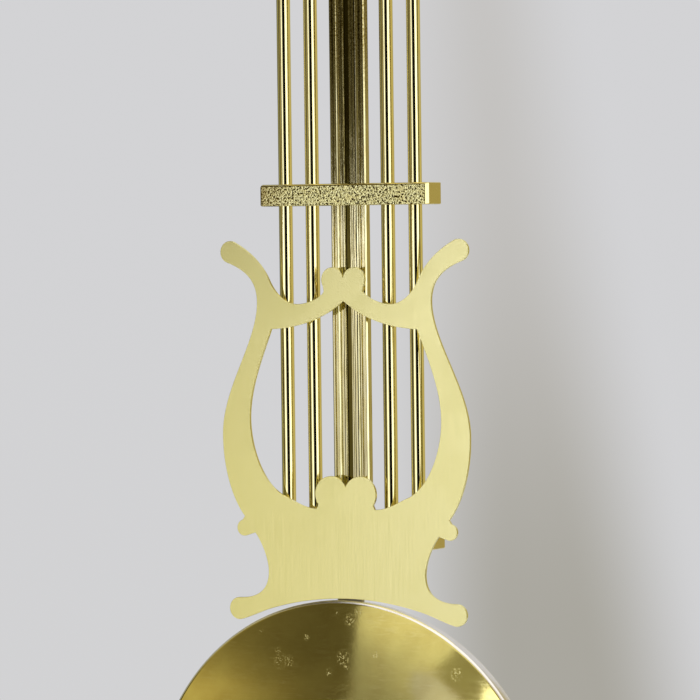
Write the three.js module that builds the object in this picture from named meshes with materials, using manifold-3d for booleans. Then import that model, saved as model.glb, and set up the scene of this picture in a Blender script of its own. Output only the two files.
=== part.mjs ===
// A lyre pendulum for a wall clock: suspension spring, hook, four rods and a reeded bar held by three
// crossbars, a pierced lyre plate, and a domed bob that a rating nut carries on a steel strip.
// Millimetres, +Z up, +X right, the front faces -Y. The origin is the middle of the suspension pin.

import * as THREE from "three";
import { mergeVertices } from "three/addons/utils/BufferGeometryUtils.js";
import Module from "manifold-3d";

const wasm = await Module();
wasm.setup();

// Clearances
const FIT = 0.05; // each side of a pressed, riveted or soldered piece
const RUN = 0.2; // each side of a piece that slides
const THREAD_PLAY = 0.1; // round the rating thread in its nut
const REST_GAP = 0.3; // between the bob and the nut that carries it

// Suspension: two brass blocks on two steel leaves
const PIN_D = 2;
const SUSPENSION_PIN_LENGTH = 11;
const CROSS_PIN_LENGTH = 12;
const BLOCK_WIDTH = 9; // front to back
const BLOCK_HEIGHT = 7;
const CHEEK_THICKNESS = 1.25;
const TOP_PIN_ABOVE = 4.25; // from the suspension pin down to the top block's lower edge
const FOOT_PIN_BELOW = 4.5; // from the foot block's upper edge down to the cross pin
const LEAF_THICKNESS = 0.2;
const LEAF_WIDTH = 2.8;
const LEAF_FREE_LENGTH = 8;
const LEAF_GRIP = 2.9; // how far each leaf reaches into a block
const LEAF_PLAY = 0.15; // between a leaf and each cheek
const BLOCK_RIVET_D = 1.2;
const BLOCK_RIVET_HEAD_D = 2.2;
const BLOCK_RIVET_HEAD_HEIGHT = 0.5;
const BLOCK_RIVET_INSET = 1.5; // from the block's edge to the rivet

// Hook: two cheeks over the foot block, a web and a tang
const HOOK_WIDTH = 9;
const HOOK_CHEEK_THICKNESS = 1.5;
const HOOK_INSIDE = 6; // between the cheeks
const HOOK_SLOT_DEPTH = 2.5; // how far the pendulum is lifted to clear the pin
const HOOK_WEB_DROP = 6.25; // from the cross pin to the web
const HOOK_WEB_HEIGHT = 2.75;
const TANG_WIDTH = 8;
const TANG_THICKNESS = 1.5;
const TANG_LENGTH = 13.5;
const HOOK_RIVET_D = 2;
const HOOK_RIVET_HEAD_D = 3.6;
const HOOK_RIVET_HEAD_HEIGHT = 0.8;
const HOOK_RIVET_SPACING = 6;

// Frame: crossbars, rods, reeded bar
const FRAME_SET_BACK = 4.65; // the rods' plane behind the suspension, so that the pendulum hangs plumb
const CROSSBAR_WIDTH = 54.25;
const CROSSBAR_DEPTH = 8.25;
const CROSSBAR_HEIGHT = 6.25;
const CROSSBAR_CHAMFER = 0.65;
const CROSSBAR_SPACING = 97.5;
const ROD_D = 4;
const ROD_INNER_X = 12.25;
const ROD_OUTER_X = 21;
const ROD_SOCKET_DEPTH = 4.5;
const BAR_WIDTH = 11.5;
const BAR_THICKNESS = 2.5;
const BAR_ABOVE_CROSSBAR = 13;
const BAR_SHORT_OF_UNDERSIDE = 0.5;
const MIDDLE_GROOVE_HALF_WIDTH = 1.05;
const MIDDLE_GROOVE_DEPTH = 0.55;
const FLUTE_X = 3.05; // the middle of the shallow flute on each side
const FLUTE_HALF_WIDTH = 0.45;
const FLUTE_DEPTH = 0.16;
const SIDE_GROOVE_X = 4.35; // the middle of the narrow groove near each edge
const SIDE_GROOVE_HALF_WIDTH = 0.35;
const SIDE_GROOVE_DEPTH = 0.36;
const BAR_EDGE_CHAMFER = 0.42;
const SET_SCREW_D = 2.5;
const SET_SCREW_RECESS = 0.2;

// Lyre plate. Each point is [distance from the centre line, drop below the middle crossbar's centre].
const LYRE_THICKNESS = 0.8;
const HEART_LOBE = [3.5, 24.2];
const HEART_LOBE_R = 3.55;
const HEART_BASE = [6.3, 27.5];
const SWAG = [15, 31.1];
const ARM_BEND = [24.2, 24];
const HORN = [36.9, 16.1];
const HORN_R = 3.2;
const SHOULDER = [28.2, 30.5];
const BELLY = [40, 69.5];
const NICK = [33.1, 92.1];
const KNOB = [33.25, 95.45];
const KNOB_R = 2.35;
const NECK = [29.7, 96.8];
const WAIST = [25.4, 107.8];
const FOOT = [35.2, 118.75];
const FOOT_R = 3.2;
const ARCH_CROWN_DROP = 115.1;
const ARCH_R = 91.4;
const ARCH_END_X = 24;
const WINDOW_APEX_DROP = 30.3;
const WINDOW_SHOULDER = [23.6, 38.3];
const WINDOW_WIDEST = [30.9, 64];
const WINDOW_FLOOR_BEND = [20.5, 85.8];
const WINDOW_FLOOR_END = [9.4, 89.5];
const LOWER_LOBE = [4.7, 85.3];
const LOWER_LOBE_R = 5.15;
const LYRE_STUD_D = 2.5;
const LYRE_STUD_X = 16.6;
const LYRE_STUD_BEYOND_NUT = 0.6;
const LYRE_NUT_ACROSS_FLATS = 5;
const LYRE_NUT_HEIGHT = 2;
const LYRE_POST_D = 4;
const LYRE_POST_DROP = 27;
const LYRE_POST_SCREW_REACH = 2.2; // into the post

// Steel strip and its fixings
const STRIP_WIDTH = 8;
const STRIP_THICKNESS = 1.5;
const STRIP_ABOVE_CROSSBAR = 6;
const STRIP_BELOW_CROSSBAR = 2; // straight run before the joggle
const STRIP_JOGGLE_HEIGHT = 8;
const STRIP_Y = -2.2; // the lower run's mid plane, from the rods' plane
const SCREW_D = 2;
const SCREW_HEAD_D = 3.8;
const SCREW_HEAD_HEIGHT = 1.4;
const SCREW_SLOT_WIDTH = 0.6;
const SCREW_SLOT_DEPTH = 0.6;
const STRIP_SCREW_X = 2.5;

// Bob
const BOB_D = 127;
const BOB_BELOW_LYRE = 0.3; // from the plate's arch down to the bob's highest point
const BOB_BACK_Y = -4.3; // the rear of its rim, from the rods' plane
const BOB_RIM_DEPTH = 4.3;
const BOB_DOME_HEIGHT = 5;
const BOB_SHOULDER_R = 1.5;
const BOB_SHEET = 0.6;
const BOB_HEM_WIDTH = 3;
const BACK_PLATE_THICKNESS = 0.8;
const WEIGHT_D = 92;
const WEIGHT_THICKNESS = 3;
const WEIGHT_STAND_OFF = 0.75; // between the back plate and the weight
const CENTRE_RIVET_D = 5;
const CENTRE_RIVET_HEAD_D = 9;
const CENTRE_RIVET_HEAD_HEIGHT = 0.8;
const GUIDE_FROM_EDGE = 27.5; // from the bob's edge to the middle of each guide
const GUIDE_HEIGHT = 8;
const GUIDE_SHEET = 1;
const GUIDE_FOOT_LENGTH = 4;
const GUIDE_RIVET_D = 1.6;
const GUIDE_RIVET_HEAD_D = 2.8;
const GUIDE_RIVET_HEAD_HEIGHT = 0.5;
const FRICTION_SPRING_SHEET = 0.3;
const FRICTION_SPRING_WIDTH = 6;
const FRICTION_SPRING_LENGTH = 28;

// Rating screw and nut
const RATING_SCREW_D = 3;
const RATING_FORK_WIDTH = 6;
const RATING_FORK_DEPTH = 3.4;
const RATING_FORK_HEIGHT = 9;
const RATING_FORK_ABOVE_BOB_EDGE = 3; // the fork's lower end above the bob's lowest point
const FORK_GRIP = 5; // how far the strip reaches into the fork
const FORK_RIVET_D = 1.5;
const FORK_RIVET_HEAD_D = 2.6;
const FORK_RIVET_HEAD_HEIGHT = 0.3;
const NUT_D = 14;
const NUT_FLANGE_HEIGHT = 4;
const NUT_HUB_D = 9;
const NUT_HUB_HEIGHT = 2.5;
const NUT_KNURLS = 30;
const NUT_KNURL_DEPTH = 0.35;
const BOB_TRAVEL_DOWN = 8;
const PEENED_END_D = 3.8;
const PEENED_END_HEIGHT = 1.2;

const ROUND_STEPS = 20; // sides of a rod, stud or bore
const SMALL_STEPS = 14; // sides of a rivet or screw
const BOB_STEPS = 80;
const CURVE_STEPS = 12; // points along each curve of an outline

const finishes = {
  polishedBrass: new THREE.MeshStandardMaterial({ color: 0xd8bc62, roughness: 0.12, metalness: 1 }),
  brushedBrass: new THREE.MeshStandardMaterial({ color: 0xdfd694, roughness: 0.35, metalness: 1 }),
  stippledBrass: new THREE.MeshStandardMaterial({ color: 0xc9b469, roughness: 0.3, metalness: 1 }),
  reededBrass: new THREE.MeshStandardMaterial({ color: 0xcfc38a, roughness: 0.3, metalness: 1 }),
  spunBrass: new THREE.MeshStandardMaterial({ color: 0xb9a24e, roughness: 0.2, metalness: 1 }),
  steel: new THREE.MeshStandardMaterial({ color: 0xa9abae, roughness: 0.4, metalness: 1 }),
  springSteel: new THREE.MeshStandardMaterial({ color: 0x8d9096, roughness: 0.25, metalness: 1 }),
  iron: new THREE.MeshStandardMaterial({ color: 0x4a4a4c, roughness: 0.7, metalness: 0.8 }),
};

// A closed geometry as a solid that can be joined and cut.
function toSolid(geometry) {
  const bare = geometry.clone();
  bare.deleteAttribute("normal");
  bare.deleteAttribute("uv");
  const merged = mergeVertices(bare, 1e-4);
  return new wasm.Manifold(
    new wasm.Mesh({
      numProp: 3,
      vertProperties: merged.attributes.position.array,
      triVerts: new Uint32Array(merged.index.array),
    }),
  );
}

function toGeometry(solid) {
  const mesh = solid.getMesh();
  const positions = new Float32Array(mesh.numVert * 3);
  for (let i = 0; i < mesh.numVert; i++) {
    positions.set(mesh.vertProperties.subarray(i * mesh.numProp, i * mesh.numProp + 3), i * 3);
  }
  const geometry = new THREE.BufferGeometry();
  geometry.setAttribute("position", new THREE.BufferAttribute(positions, 3));
  geometry.setIndex(new THREE.BufferAttribute(new Uint32Array(mesh.triVerts), 1));
  geometry.computeVertexNormals();
  return geometry;
}

function cut(geometry, tools) {
  return toGeometry(tools.reduce((solid, tool) => solid.subtract(toSolid(tool)), toSolid(geometry)));
}

function join(pieces) {
  return toGeometry(pieces.map(toSolid).reduce((whole, piece) => whole.add(piece)));
}

// A box between two corners.
function block(low, high) {
  const box = new THREE.BoxGeometry(high[0] - low[0], high[1] - low[1], high[2] - low[2]);
  return box.translate((low[0] + high[0]) / 2, (low[1] + high[1]) / 2, (low[2] + high[2]) / 2);
}

// Round bars between two places along one axis.
function rodAlongX(radius, from, to, y, z, sides = ROUND_STEPS) {
  const rod = new THREE.CylinderGeometry(radius, radius, to - from, sides);
  return rod.rotateZ(Math.PI / 2).translate((from + to) / 2, y, z);
}

function rodAlongY(radius, from, to, x, z, sides = ROUND_STEPS) {
  const rod = new THREE.CylinderGeometry(radius, radius, to - from, sides);
  return rod.translate(x, (from + to) / 2, z);
}

function rodAlongZ(radius, from, to, x, y, sides = ROUND_STEPS) {
  const rod = new THREE.CylinderGeometry(radius, radius, to - from, sides);
  return rod.rotateX(Math.PI / 2).translate(x, y, (from + to) / 2);
}

// A turned piece on the Y axis from a profile of [radius, y] points that starts and ends on the axis.
function turned(profile, sides) {
  const points = profile.map(([radius, y]) => new THREE.Vector2(radius, y));
  let area = 0;
  points.forEach((point, i) => {
    area += point.cross(points[(i + 1) % points.length]);
  });
  return new THREE.LatheGeometry(area < 0 ? points.reverse() : points, sides);
}

function polygon(points) {
  return new THREE.Shape(points.map(([x, y]) => new THREE.Vector2(x, y)));
}

// An outline of X and Z, made solid from one Y to another.
function plate(shape, front, back) {
  const geometry = new THREE.ExtrudeGeometry(shape, {
    depth: back - front,
    bevelEnabled: false,
    curveSegments: CURVE_STEPS,
  });
  return geometry.rotateX(Math.PI / 2).translate(0, back, 0);
}

// An outline of Y and Z, made solid from one X to another.
function sideProfile(shape, left, right) {
  const geometry = new THREE.ExtrudeGeometry(shape, {
    depth: right - left,
    bevelEnabled: false,
    curveSegments: CURVE_STEPS,
  });
  geometry.applyMatrix4(new THREE.Matrix4().set(0, 0, 1, 0, 1, 0, 0, 0, 0, 1, 0, 0, 0, 0, 0, 1));
  return geometry.translate(left, 0, 0);
}

// An outline of X and Y, made solid from one height to another.
function section(shape, bottom, top) {
  const geometry = new THREE.ExtrudeGeometry(shape, {
    depth: top - bottom,
    bevelEnabled: false,
    curveSegments: CURVE_STEPS,
  });
  return geometry.translate(0, 0, bottom);
}

// A rivet with two low round heads; its grip runs along Y from zero.
function rivet(shankD, headD, headHeight, grip) {
  const head = headD / 2;
  return turned(
    [
      [0, -headHeight],
      [head * 0.6, -headHeight * 0.8],
      [head, 0],
      [shankD / 2, 0],
      [shankD / 2, grip],
      [head, grip],
      [head * 0.6, grip + headHeight * 0.8],
      [0, grip + headHeight],
    ],
    SMALL_STEPS,
  );
}

// A slotted cheese-head screw whose head stands on the face at zero and whose shank runs to -Y.
function screw(length) {
  const body = turned(
    [
      [0, -length],
      [SCREW_D / 2, -length],
      [SCREW_D / 2, 0],
      [SCREW_HEAD_D / 2, 0],
      [SCREW_HEAD_D / 2, SCREW_HEAD_HEIGHT],
      [0, SCREW_HEAD_HEIGHT],
    ],
    SMALL_STEPS,
  );
  const half = SCREW_SLOT_WIDTH / 2;
  const slot = block(
    [-SCREW_HEAD_D, SCREW_HEAD_HEIGHT - SCREW_SLOT_DEPTH, -half],
    [SCREW_HEAD_D, SCREW_HEAD_HEIGHT + 1, half],
  );
  return cut(body, [slot]);
}

function part(name, geometry, finish) {
  const mesh = new THREE.Mesh(geometry, finishes[finish]);
  mesh.name = name;
  return mesh;
}

function placed(mesh, x, y, z) {
  mesh.position.set(x, y, z);
  return mesh;
}

// Suspension spring

const cheekInner = LEAF_THICKNESS / 2 + LEAF_PLAY;
const cheekOuter = cheekInner + CHEEK_THICKNESS;
const leafInner = PIN_D / 2 + FIT * 2;
const leafMiddle = leafInner + LEAF_WIDTH / 2;
const topBlockBottom = -TOP_PIN_ABOVE;
const footBlockTop = topBlockBottom - LEAF_FREE_LENGTH;
const crossPinZ = footBlockTop - FOOT_PIN_BELOW;
const flexZ = (topBlockBottom + footBlockTop) / 2;

// One of the two brass blocks: two cheeks, a round pin through them and two rivets through the leaves.
function springBlock(names, bottom, pinZ, pinLength, rivetZ) {
  const group = new THREE.Group();
  const half = BLOCK_WIDTH / 2;
  const bores = [rodAlongX(PIN_D / 2 + FIT, -cheekOuter * 2, cheekOuter * 2, 0, pinZ)];
  for (const y of [-leafMiddle, leafMiddle]) {
    bores.push(rodAlongX(BLOCK_RIVET_D / 2 + FIT, -cheekOuter * 2, cheekOuter * 2, y, rivetZ, SMALL_STEPS));
  }
  [-1, 1].forEach((side, i) => {
    const edges = [side * cheekInner, side * cheekOuter].sort((a, b) => a - b);
    const cheek = block([edges[0], -half, bottom], [edges[1], half, bottom + BLOCK_HEIGHT]);
    group.add(part(names.cheeks[i], cut(cheek, bores), "polishedBrass"));
  });
  group.add(part(names.pin, rodAlongX(PIN_D / 2, -pinLength / 2, pinLength / 2, 0, pinZ), "steel"));
  [-leafMiddle, leafMiddle].forEach((y, i) => {
    const geometry = rivet(
      BLOCK_RIVET_D,
      BLOCK_RIVET_HEAD_D,
      BLOCK_RIVET_HEAD_HEIGHT,
      cheekOuter * 2,
    );
    geometry.rotateZ(-Math.PI / 2);
    group.add(placed(part(names.rivets[i], geometry, "polishedBrass"), -cheekOuter, y, rivetZ));
  });
  return group;
}

function springLeaf(name, y) {
  const half = LEAF_THICKNESS / 2;
  const leaf = block(
    [-half, y - LEAF_WIDTH / 2, footBlockTop - LEAF_GRIP],
    [half, y + LEAF_WIDTH / 2, topBlockBottom + LEAF_GRIP],
  );
  const holes = [topBlockBottom + BLOCK_RIVET_INSET, footBlockTop - BLOCK_RIVET_INSET].map((z) =>
    rodAlongX(BLOCK_RIVET_D / 2 + FIT, -1, 1, y, z, SMALL_STEPS),
  );
  return part(name, cut(leaf, holes), "springSteel");
}

function suspension() {
  const group = new THREE.Group();
  group.add(
    springBlock(
      {
        cheeks: ["top_block_left", "top_block_right"],
        pin: "suspension_pin",
        rivets: ["top_rivet_front", "top_rivet_rear"],
      },
      topBlockBottom,
      0,
      SUSPENSION_PIN_LENGTH,
      topBlockBottom + BLOCK_RIVET_INSET,
    ),
  );
  group.add(
    springBlock(
      {
        cheeks: ["foot_block_left", "foot_block_right"],
        pin: "cross_pin",
        rivets: ["foot_rivet_front", "foot_rivet_rear"],
      },
      footBlockTop - BLOCK_HEIGHT,
      crossPinZ,
      CROSS_PIN_LENGTH,
      footBlockTop - BLOCK_RIVET_INSET,
    ),
  );
  group.add(springLeaf("spring_leaf_front", -leafMiddle));
  group.add(springLeaf("spring_leaf_rear", leafMiddle));
  return group;
}

// Hook, in the cross pin's frame

const barFront = -BAR_THICKNESS / 2;
const barBack = BAR_THICKNESS / 2;
const tangBack = FRAME_SET_BACK + barFront;
const tangFront = tangBack - TANG_THICKNESS;
const webTop = -HOOK_WEB_DROP;
const webBottom = webTop - HOOK_WEB_HEIGHT;
const tangBottom = webBottom - TANG_LENGTH;
const hookRivetZs = [
  webBottom - TANG_LENGTH / 2 + HOOK_RIVET_SPACING / 2 - 1,
  webBottom - TANG_LENGTH / 2 - HOOK_RIVET_SPACING / 2 - 1,
];

function hookCheek(left, right) {
  const half = HOOK_WIDTH / 2;
  const outline = new THREE.Shape();
  outline.moveTo(half, 0);
  outline.absarc(0, 0, half, 0, Math.PI, false);
  outline.lineTo(-half, webBottom);
  outline.lineTo(half, webBottom);
  outline.closePath();
  const seat = PIN_D / 2 + RUN;
  const slot = [
    rodAlongX(seat, left - 1, right + 1, 0, 0),
    block([left - 1, -seat, -HOOK_SLOT_DEPTH - seat], [right + 1, seat, 0]),
    block([left - 1, 0, -HOOK_SLOT_DEPTH - seat], [right + 1, half + 1, -HOOK_SLOT_DEPTH + seat]),
  ];
  return cut(sideProfile(outline, left, right), slot);
}

function pendulumHook() {
  const inside = HOOK_INSIDE / 2;
  const outside = inside + HOOK_CHEEK_THICKNESS;
  const web = block([-outside, tangFront - TANG_THICKNESS, webBottom], [outside, tangBack, webTop]);
  const tang = block([-TANG_WIDTH / 2, tangFront, tangBottom], [TANG_WIDTH / 2, tangBack, webTop]);
  const body = join([hookCheek(-outside, -inside), hookCheek(inside, outside), web, tang]);
  const holes = hookRivetZs.map((z) =>
    rodAlongY(HOOK_RIVET_D / 2 + FIT, tangFront - 1, tangBack + 1, 0, z, SMALL_STEPS),
  );
  return part("pendulum_hook", cut(body, holes), "polishedBrass");
}

function hookGroup() {
  const group = new THREE.Group();
  group.position.set(0, 0, crossPinZ);
  group.add(pendulumHook());
  ["hook_rivet_upper", "hook_rivet_lower"].forEach((name, i) => {
    const geometry = rivet(
      HOOK_RIVET_D,
      HOOK_RIVET_HEAD_D,
      HOOK_RIVET_HEAD_HEIGHT,
      TANG_THICKNESS + BAR_THICKNESS,
    );
    group.add(placed(part(name, geometry, "polishedBrass"), 0, tangFront, hookRivetZs[i]));
  });
  return group;
}

// Frame, from the middle crossbar's centre in the rods' plane

const barTop = CROSSBAR_SPACING + CROSSBAR_HEIGHT / 2 + BAR_ABOVE_CROSSBAR;
// The bar's upper end stands just under the hook's web.
const frameZ = crossPinZ + webBottom - BLOCK_RIVET_INSET - barTop;
const crossbarFront = -CROSSBAR_DEPTH / 2;
const crossbarBack = CROSSBAR_DEPTH / 2;
const upperBarZ = CROSSBAR_SPACING;
const lowerBarZ = -CROSSBAR_SPACING;
const lowerUnderside = lowerBarZ - CROSSBAR_HEIGHT / 2;
const upperTopSide = upperBarZ + CROSSBAR_HEIGHT / 2;
const rodXs = [-ROD_OUTER_X, -ROD_INNER_X, ROD_INNER_X, ROD_OUTER_X];
const stripBack = barBack + STRIP_THICKNESS;
const lyreBack = crossbarFront;
const lyreFront = lyreBack - LYRE_THICKNESS;

// The crossbar's body: a rectangular bar whose front face is framed by a chamfer.
function crossbarBlank(z) {
  const ring = (inset, y) => {
    const x = CROSSBAR_WIDTH / 2 - inset;
    const h = CROSSBAR_HEIGHT / 2 - inset;
    return [[-x, y, z - h], [x, y, z - h], [x, y, z + h], [-x, y, z + h]];
  };
  const corners = [
    ring(CROSSBAR_CHAMFER, crossbarFront),
    ring(0, crossbarFront + CROSSBAR_CHAMFER),
    ring(0, crossbarBack),
  ].flat();
  const faces = [[0, 1, 2], [0, 2, 3], [8, 10, 9], [8, 11, 10]];
  for (const start of [0, 4]) {
    for (let i = 0; i < 4; i++) {
      const a = start + i;
      const b = start + ((i + 1) % 4);
      faces.push([a, a + 4, b], [b, a + 4, b + 4]);
    }
  }
  const geometry = new THREE.BufferGeometry();
  geometry.setAttribute("position", new THREE.Float32BufferAttribute(corners.flat(), 3));
  geometry.setIndex(faces.flat());
  return geometry;
}

// What passes through or into a crossbar: the rods' bores, the bar's slot and the set screws' holes.
function crossbar(name, z, socket, lockedRods, extraCuts) {
  const bore = ROD_D / 2 + FIT;
  const low = z - CROSSBAR_HEIGHT / 2;
  const high = z + CROSSBAR_HEIGHT / 2;
  const from = socket === "from above" ? high - ROD_SOCKET_DEPTH - FIT : low - 1;
  const to = socket === "from below" ? low + ROD_SOCKET_DEPTH + FIT : high + 1;
  const cuts = rodXs.map((x) => rodAlongZ(bore, from, to, x, 0));
  const half = BAR_WIDTH / 2 + FIT;
  cuts.push(block([-half, barFront - FIT, low - 1], [half, barBack + FIT, high + 1]));
  for (const x of lockedRods) {
    cuts.push(rodAlongY(SET_SCREW_D / 2 + FIT, 0, crossbarBack + 1, x, z, SMALL_STEPS));
  }
  return part(name, cut(crossbarBlank(z), [...cuts, ...extraCuts]), "stippledBrass");
}

function setScrews(prefix, z, lockedRods) {
  const names = { [-ROD_OUTER_X]: "outer_left", [-ROD_INNER_X]: "inner_left" };
  names[ROD_INNER_X] = "inner_right";
  names[ROD_OUTER_X] = "outer_right";
  const from = ROD_D / 2 + FIT * 2;
  return lockedRods.map((x) => {
    const body = rodAlongY(SET_SCREW_D / 2, from, crossbarBack - SET_SCREW_RECESS, x, z, SMALL_STEPS);
    const slot = block(
      [x - SET_SCREW_D, crossbarBack - SET_SCREW_RECESS - SCREW_SLOT_DEPTH, z - SCREW_SLOT_WIDTH / 2],
      [x + SET_SCREW_D, crossbarBack, z + SCREW_SLOT_WIDTH / 2],
    );
    return part(`${prefix}_set_screw_${names[x]}`, cut(body, [slot]), "steel");
  });
}

// One side of a groove and its floor, from its middle outwards: the wall leans and its lip is eased.
function grooveSide(middle, halfWidth, depth, side) {
  const lean = halfWidth * 0.25;
  return [
    [middle + side * (halfWidth - lean), depth],
    [middle + side * halfWidth, depth * 0.2],
    [middle + side * (halfWidth + lean), 0],
  ];
}

// The reeded bar's cross-section: a deep middle groove, and on each side a shallow flute, then a
// narrow groove near the edge, with flat ribs between them.
function reededSection() {
  const edge = BAR_WIDTH / 2;
  const half = [
    [0, MIDDLE_GROOVE_DEPTH],
    ...grooveSide(0, MIDDLE_GROOVE_HALF_WIDTH, MIDDLE_GROOVE_DEPTH, 1),
    ...grooveSide(FLUTE_X, FLUTE_HALF_WIDTH, FLUTE_DEPTH, -1).reverse(),
    ...grooveSide(FLUTE_X, FLUTE_HALF_WIDTH, FLUTE_DEPTH, 1),
    ...grooveSide(SIDE_GROOVE_X, SIDE_GROOVE_HALF_WIDTH, SIDE_GROOVE_DEPTH, -1).reverse(),
    ...grooveSide(SIDE_GROOVE_X, SIDE_GROOVE_HALF_WIDTH, SIDE_GROOVE_DEPTH, 1),
    [edge - BAR_EDGE_CHAMFER, 0],
    [edge, BAR_EDGE_CHAMFER],
    [edge, BAR_THICKNESS],
  ];
  const right = half.map(([x, depth]) => [x, barFront + depth]);
  const left = right.slice(1).reverse();
  return polygon([...right, ...left.map(([x, y]) => [-x, y])]);
}

function centreBar() {
  const body = section(reededSection(), lowerUnderside + BAR_SHORT_OF_UNDERSIDE, barTop);
  const hookHoles = hookRivetZs.map((z) =>
    rodAlongY(HOOK_RIVET_D / 2 + FIT, barFront - 1, barBack + 1, 0, crossPinZ + z - frameZ, SMALL_STEPS),
  );
  const screwBore = SCREW_D / 2 + FIT;
  const postHole = rodAlongY(screwBore, barFront - 1, barBack + 1, 0, -LYRE_POST_DROP, SMALL_STEPS);
  const stripHoles = [-STRIP_SCREW_X, STRIP_SCREW_X].map((x) =>
    rodAlongY(screwBore, barFront - 1, barBack + 1, x, lowerBarZ, SMALL_STEPS),
  );
  return part("centre_bar", cut(body, [...hookHoles, postHole, ...stripHoles]), "reededBrass");
}

function rods() {
  const names = ["rod_outer_left", "rod_inner_left", "rod_inner_right", "rod_outer_right"];
  const from = lowerBarZ + CROSSBAR_HEIGHT / 2 - ROD_SOCKET_DEPTH;
  const to = upperBarZ - CROSSBAR_HEIGHT / 2 + ROD_SOCKET_DEPTH;
  return rodXs.map((x, i) => part(names[i], rodAlongZ(ROD_D / 2, from, to, x, 0), "polishedBrass"));
}

// A cubic curve to a point. Each pull is the share of the curve's own width and height by which its
// handle stands off from that end.
function sweep(path, [x, drop], leave, arrive) {
  const from = path.currentPoint.clone();
  const dx = x - from.x;
  const dz = -drop - from.y;
  path.bezierCurveTo(
    from.x + dx * leave[0],
    from.y + dz * leave[1],
    x - dx * arrive[0],
    -drop - dz * arrive[1],
    x,
    -drop,
  );
}

function arcDegrees(path, [x, drop], radius, from, to) {
  path.absarc(x, -drop, radius, (from * Math.PI) / 180, (to * Math.PI) / 180, to < from);
}

// Where a lobe of this radius meets the centre line, in degrees from its centre.
function lobeMeetsCentre([x], radius) {
  return (Math.acos(-x / radius) * 180) / Math.PI;
}

// A path's points, without the ones that repeat where two curves meet.
function pointsAlong(path) {
  const points = path.getPoints(CURVE_STEPS);
  return points.filter((point, i) => i === 0 || point.distanceTo(points[i - 1]) > 0.02);
}

// The right half of the plate's edge, from the notch between the upper lobes to the arch's crown.
function lyreEdge() {
  const path = new THREE.Path();
  const notch = lobeMeetsCentre(HEART_LOBE, HEART_LOBE_R);
  const notchRise = Math.sin((notch * Math.PI) / 180) * HEART_LOBE_R;
  path.moveTo(0, -HEART_LOBE[1] + notchRise);
  arcDegrees(path, HEART_LOBE, HEART_LOBE_R, notch, -32);
  path.lineTo(HEART_BASE[0], -HEART_BASE[1]);
  sweep(path, SWAG, [0.05, 0.4], [0.43, 0]);
  sweep(path, ARM_BEND, [0.54, 0], [0.13, 0.38]);
  const meet = (125 * Math.PI) / 180; // where the arm runs into the horn's round end
  const meetPoint = [HORN[0] + HORN_R * Math.cos(meet), HORN[1] - HORN_R * Math.sin(meet)];
  sweep(path, meetPoint, [0.2, 0.43], [0.41, 0.22]);
  arcDegrees(path, HORN, HORN_R, 125, -70);
  sweep(path, SHOULDER, [0.58, 0.18], [0, 0.57]);
  sweep(path, BELLY, [0, 0.3], [-0.05, 0.35]);
  sweep(path, NICK, [0, 0.34], [0.67, 0.25]);
  arcDegrees(path, KNOB, KNOB_R, 76, -112);
  path.lineTo(NECK[0], -NECK[1]);
  sweep(path, WAIST, [0.28, 0.12], [0, 0.4]);
  const footTop = [FOOT[0] - FOOT_R * 0.09, FOOT[1] - FOOT_R];
  sweep(path, footTop, [0, 0.7], [0.63, 0]);
  arcDegrees(path, FOOT, FOOT_R, 90, -105);
  const archCentre = ARCH_CROWN_DROP + ARCH_R;
  const archEnd = [ARCH_END_X, archCentre - Math.sqrt(ARCH_R ** 2 - ARCH_END_X ** 2)];
  sweep(path, archEnd, [0.33, 0.26], [0.33, 0.26]);
  const archAngle = (Math.acos(ARCH_END_X / ARCH_R) * 180) / Math.PI;
  arcDegrees(path, [0, archCentre], ARCH_R, archAngle, 90);
  return pointsAlong(path);
}

// The right half of the window, from its apex to the notch between the lower lobes.
function lyreWindow() {
  const path = new THREE.Path();
  path.moveTo(0, -WINDOW_APEX_DROP);
  sweep(path, WINDOW_SHOULDER, [0.29, 0.675], [0.36, 0.04]);
  sweep(path, WINDOW_WIDEST, [0.45, 0.33], [0, 0.34]);
  sweep(path, WINDOW_FLOOR_BEND, [0, 0.37], [0.65, 0.16]);
  sweep(path, WINDOW_FLOOR_END, [0.31, 0.35], [0.4, 0]);
  arcDegrees(path, LOWER_LOBE, LOWER_LOBE_R, -36, lobeMeetsCentre(LOWER_LOBE, LOWER_LOBE_R));
  return pointsAlong(path);
}

// Both halves of an outline from its right half.
function mirrored(half) {
  const inner = half.slice(1, -1);
  const onCentre = (point) => new THREE.Vector2(0, point.y);
  return [
    onCentre(half[0]),
    ...inner,
    onCentre(half[half.length - 1]),
    ...inner.reverse().map((point) => new THREE.Vector2(-point.x, point.y)),
  ];
}

function lyrePlate() {
  const shape = new THREE.Shape(mirrored(lyreEdge()));
  shape.holes.push(new THREE.Path(mirrored(lyreWindow()).reverse()));
  return part("lyre_plate", plate(shape, lyreFront, lyreBack), "brushedBrass");
}

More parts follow.
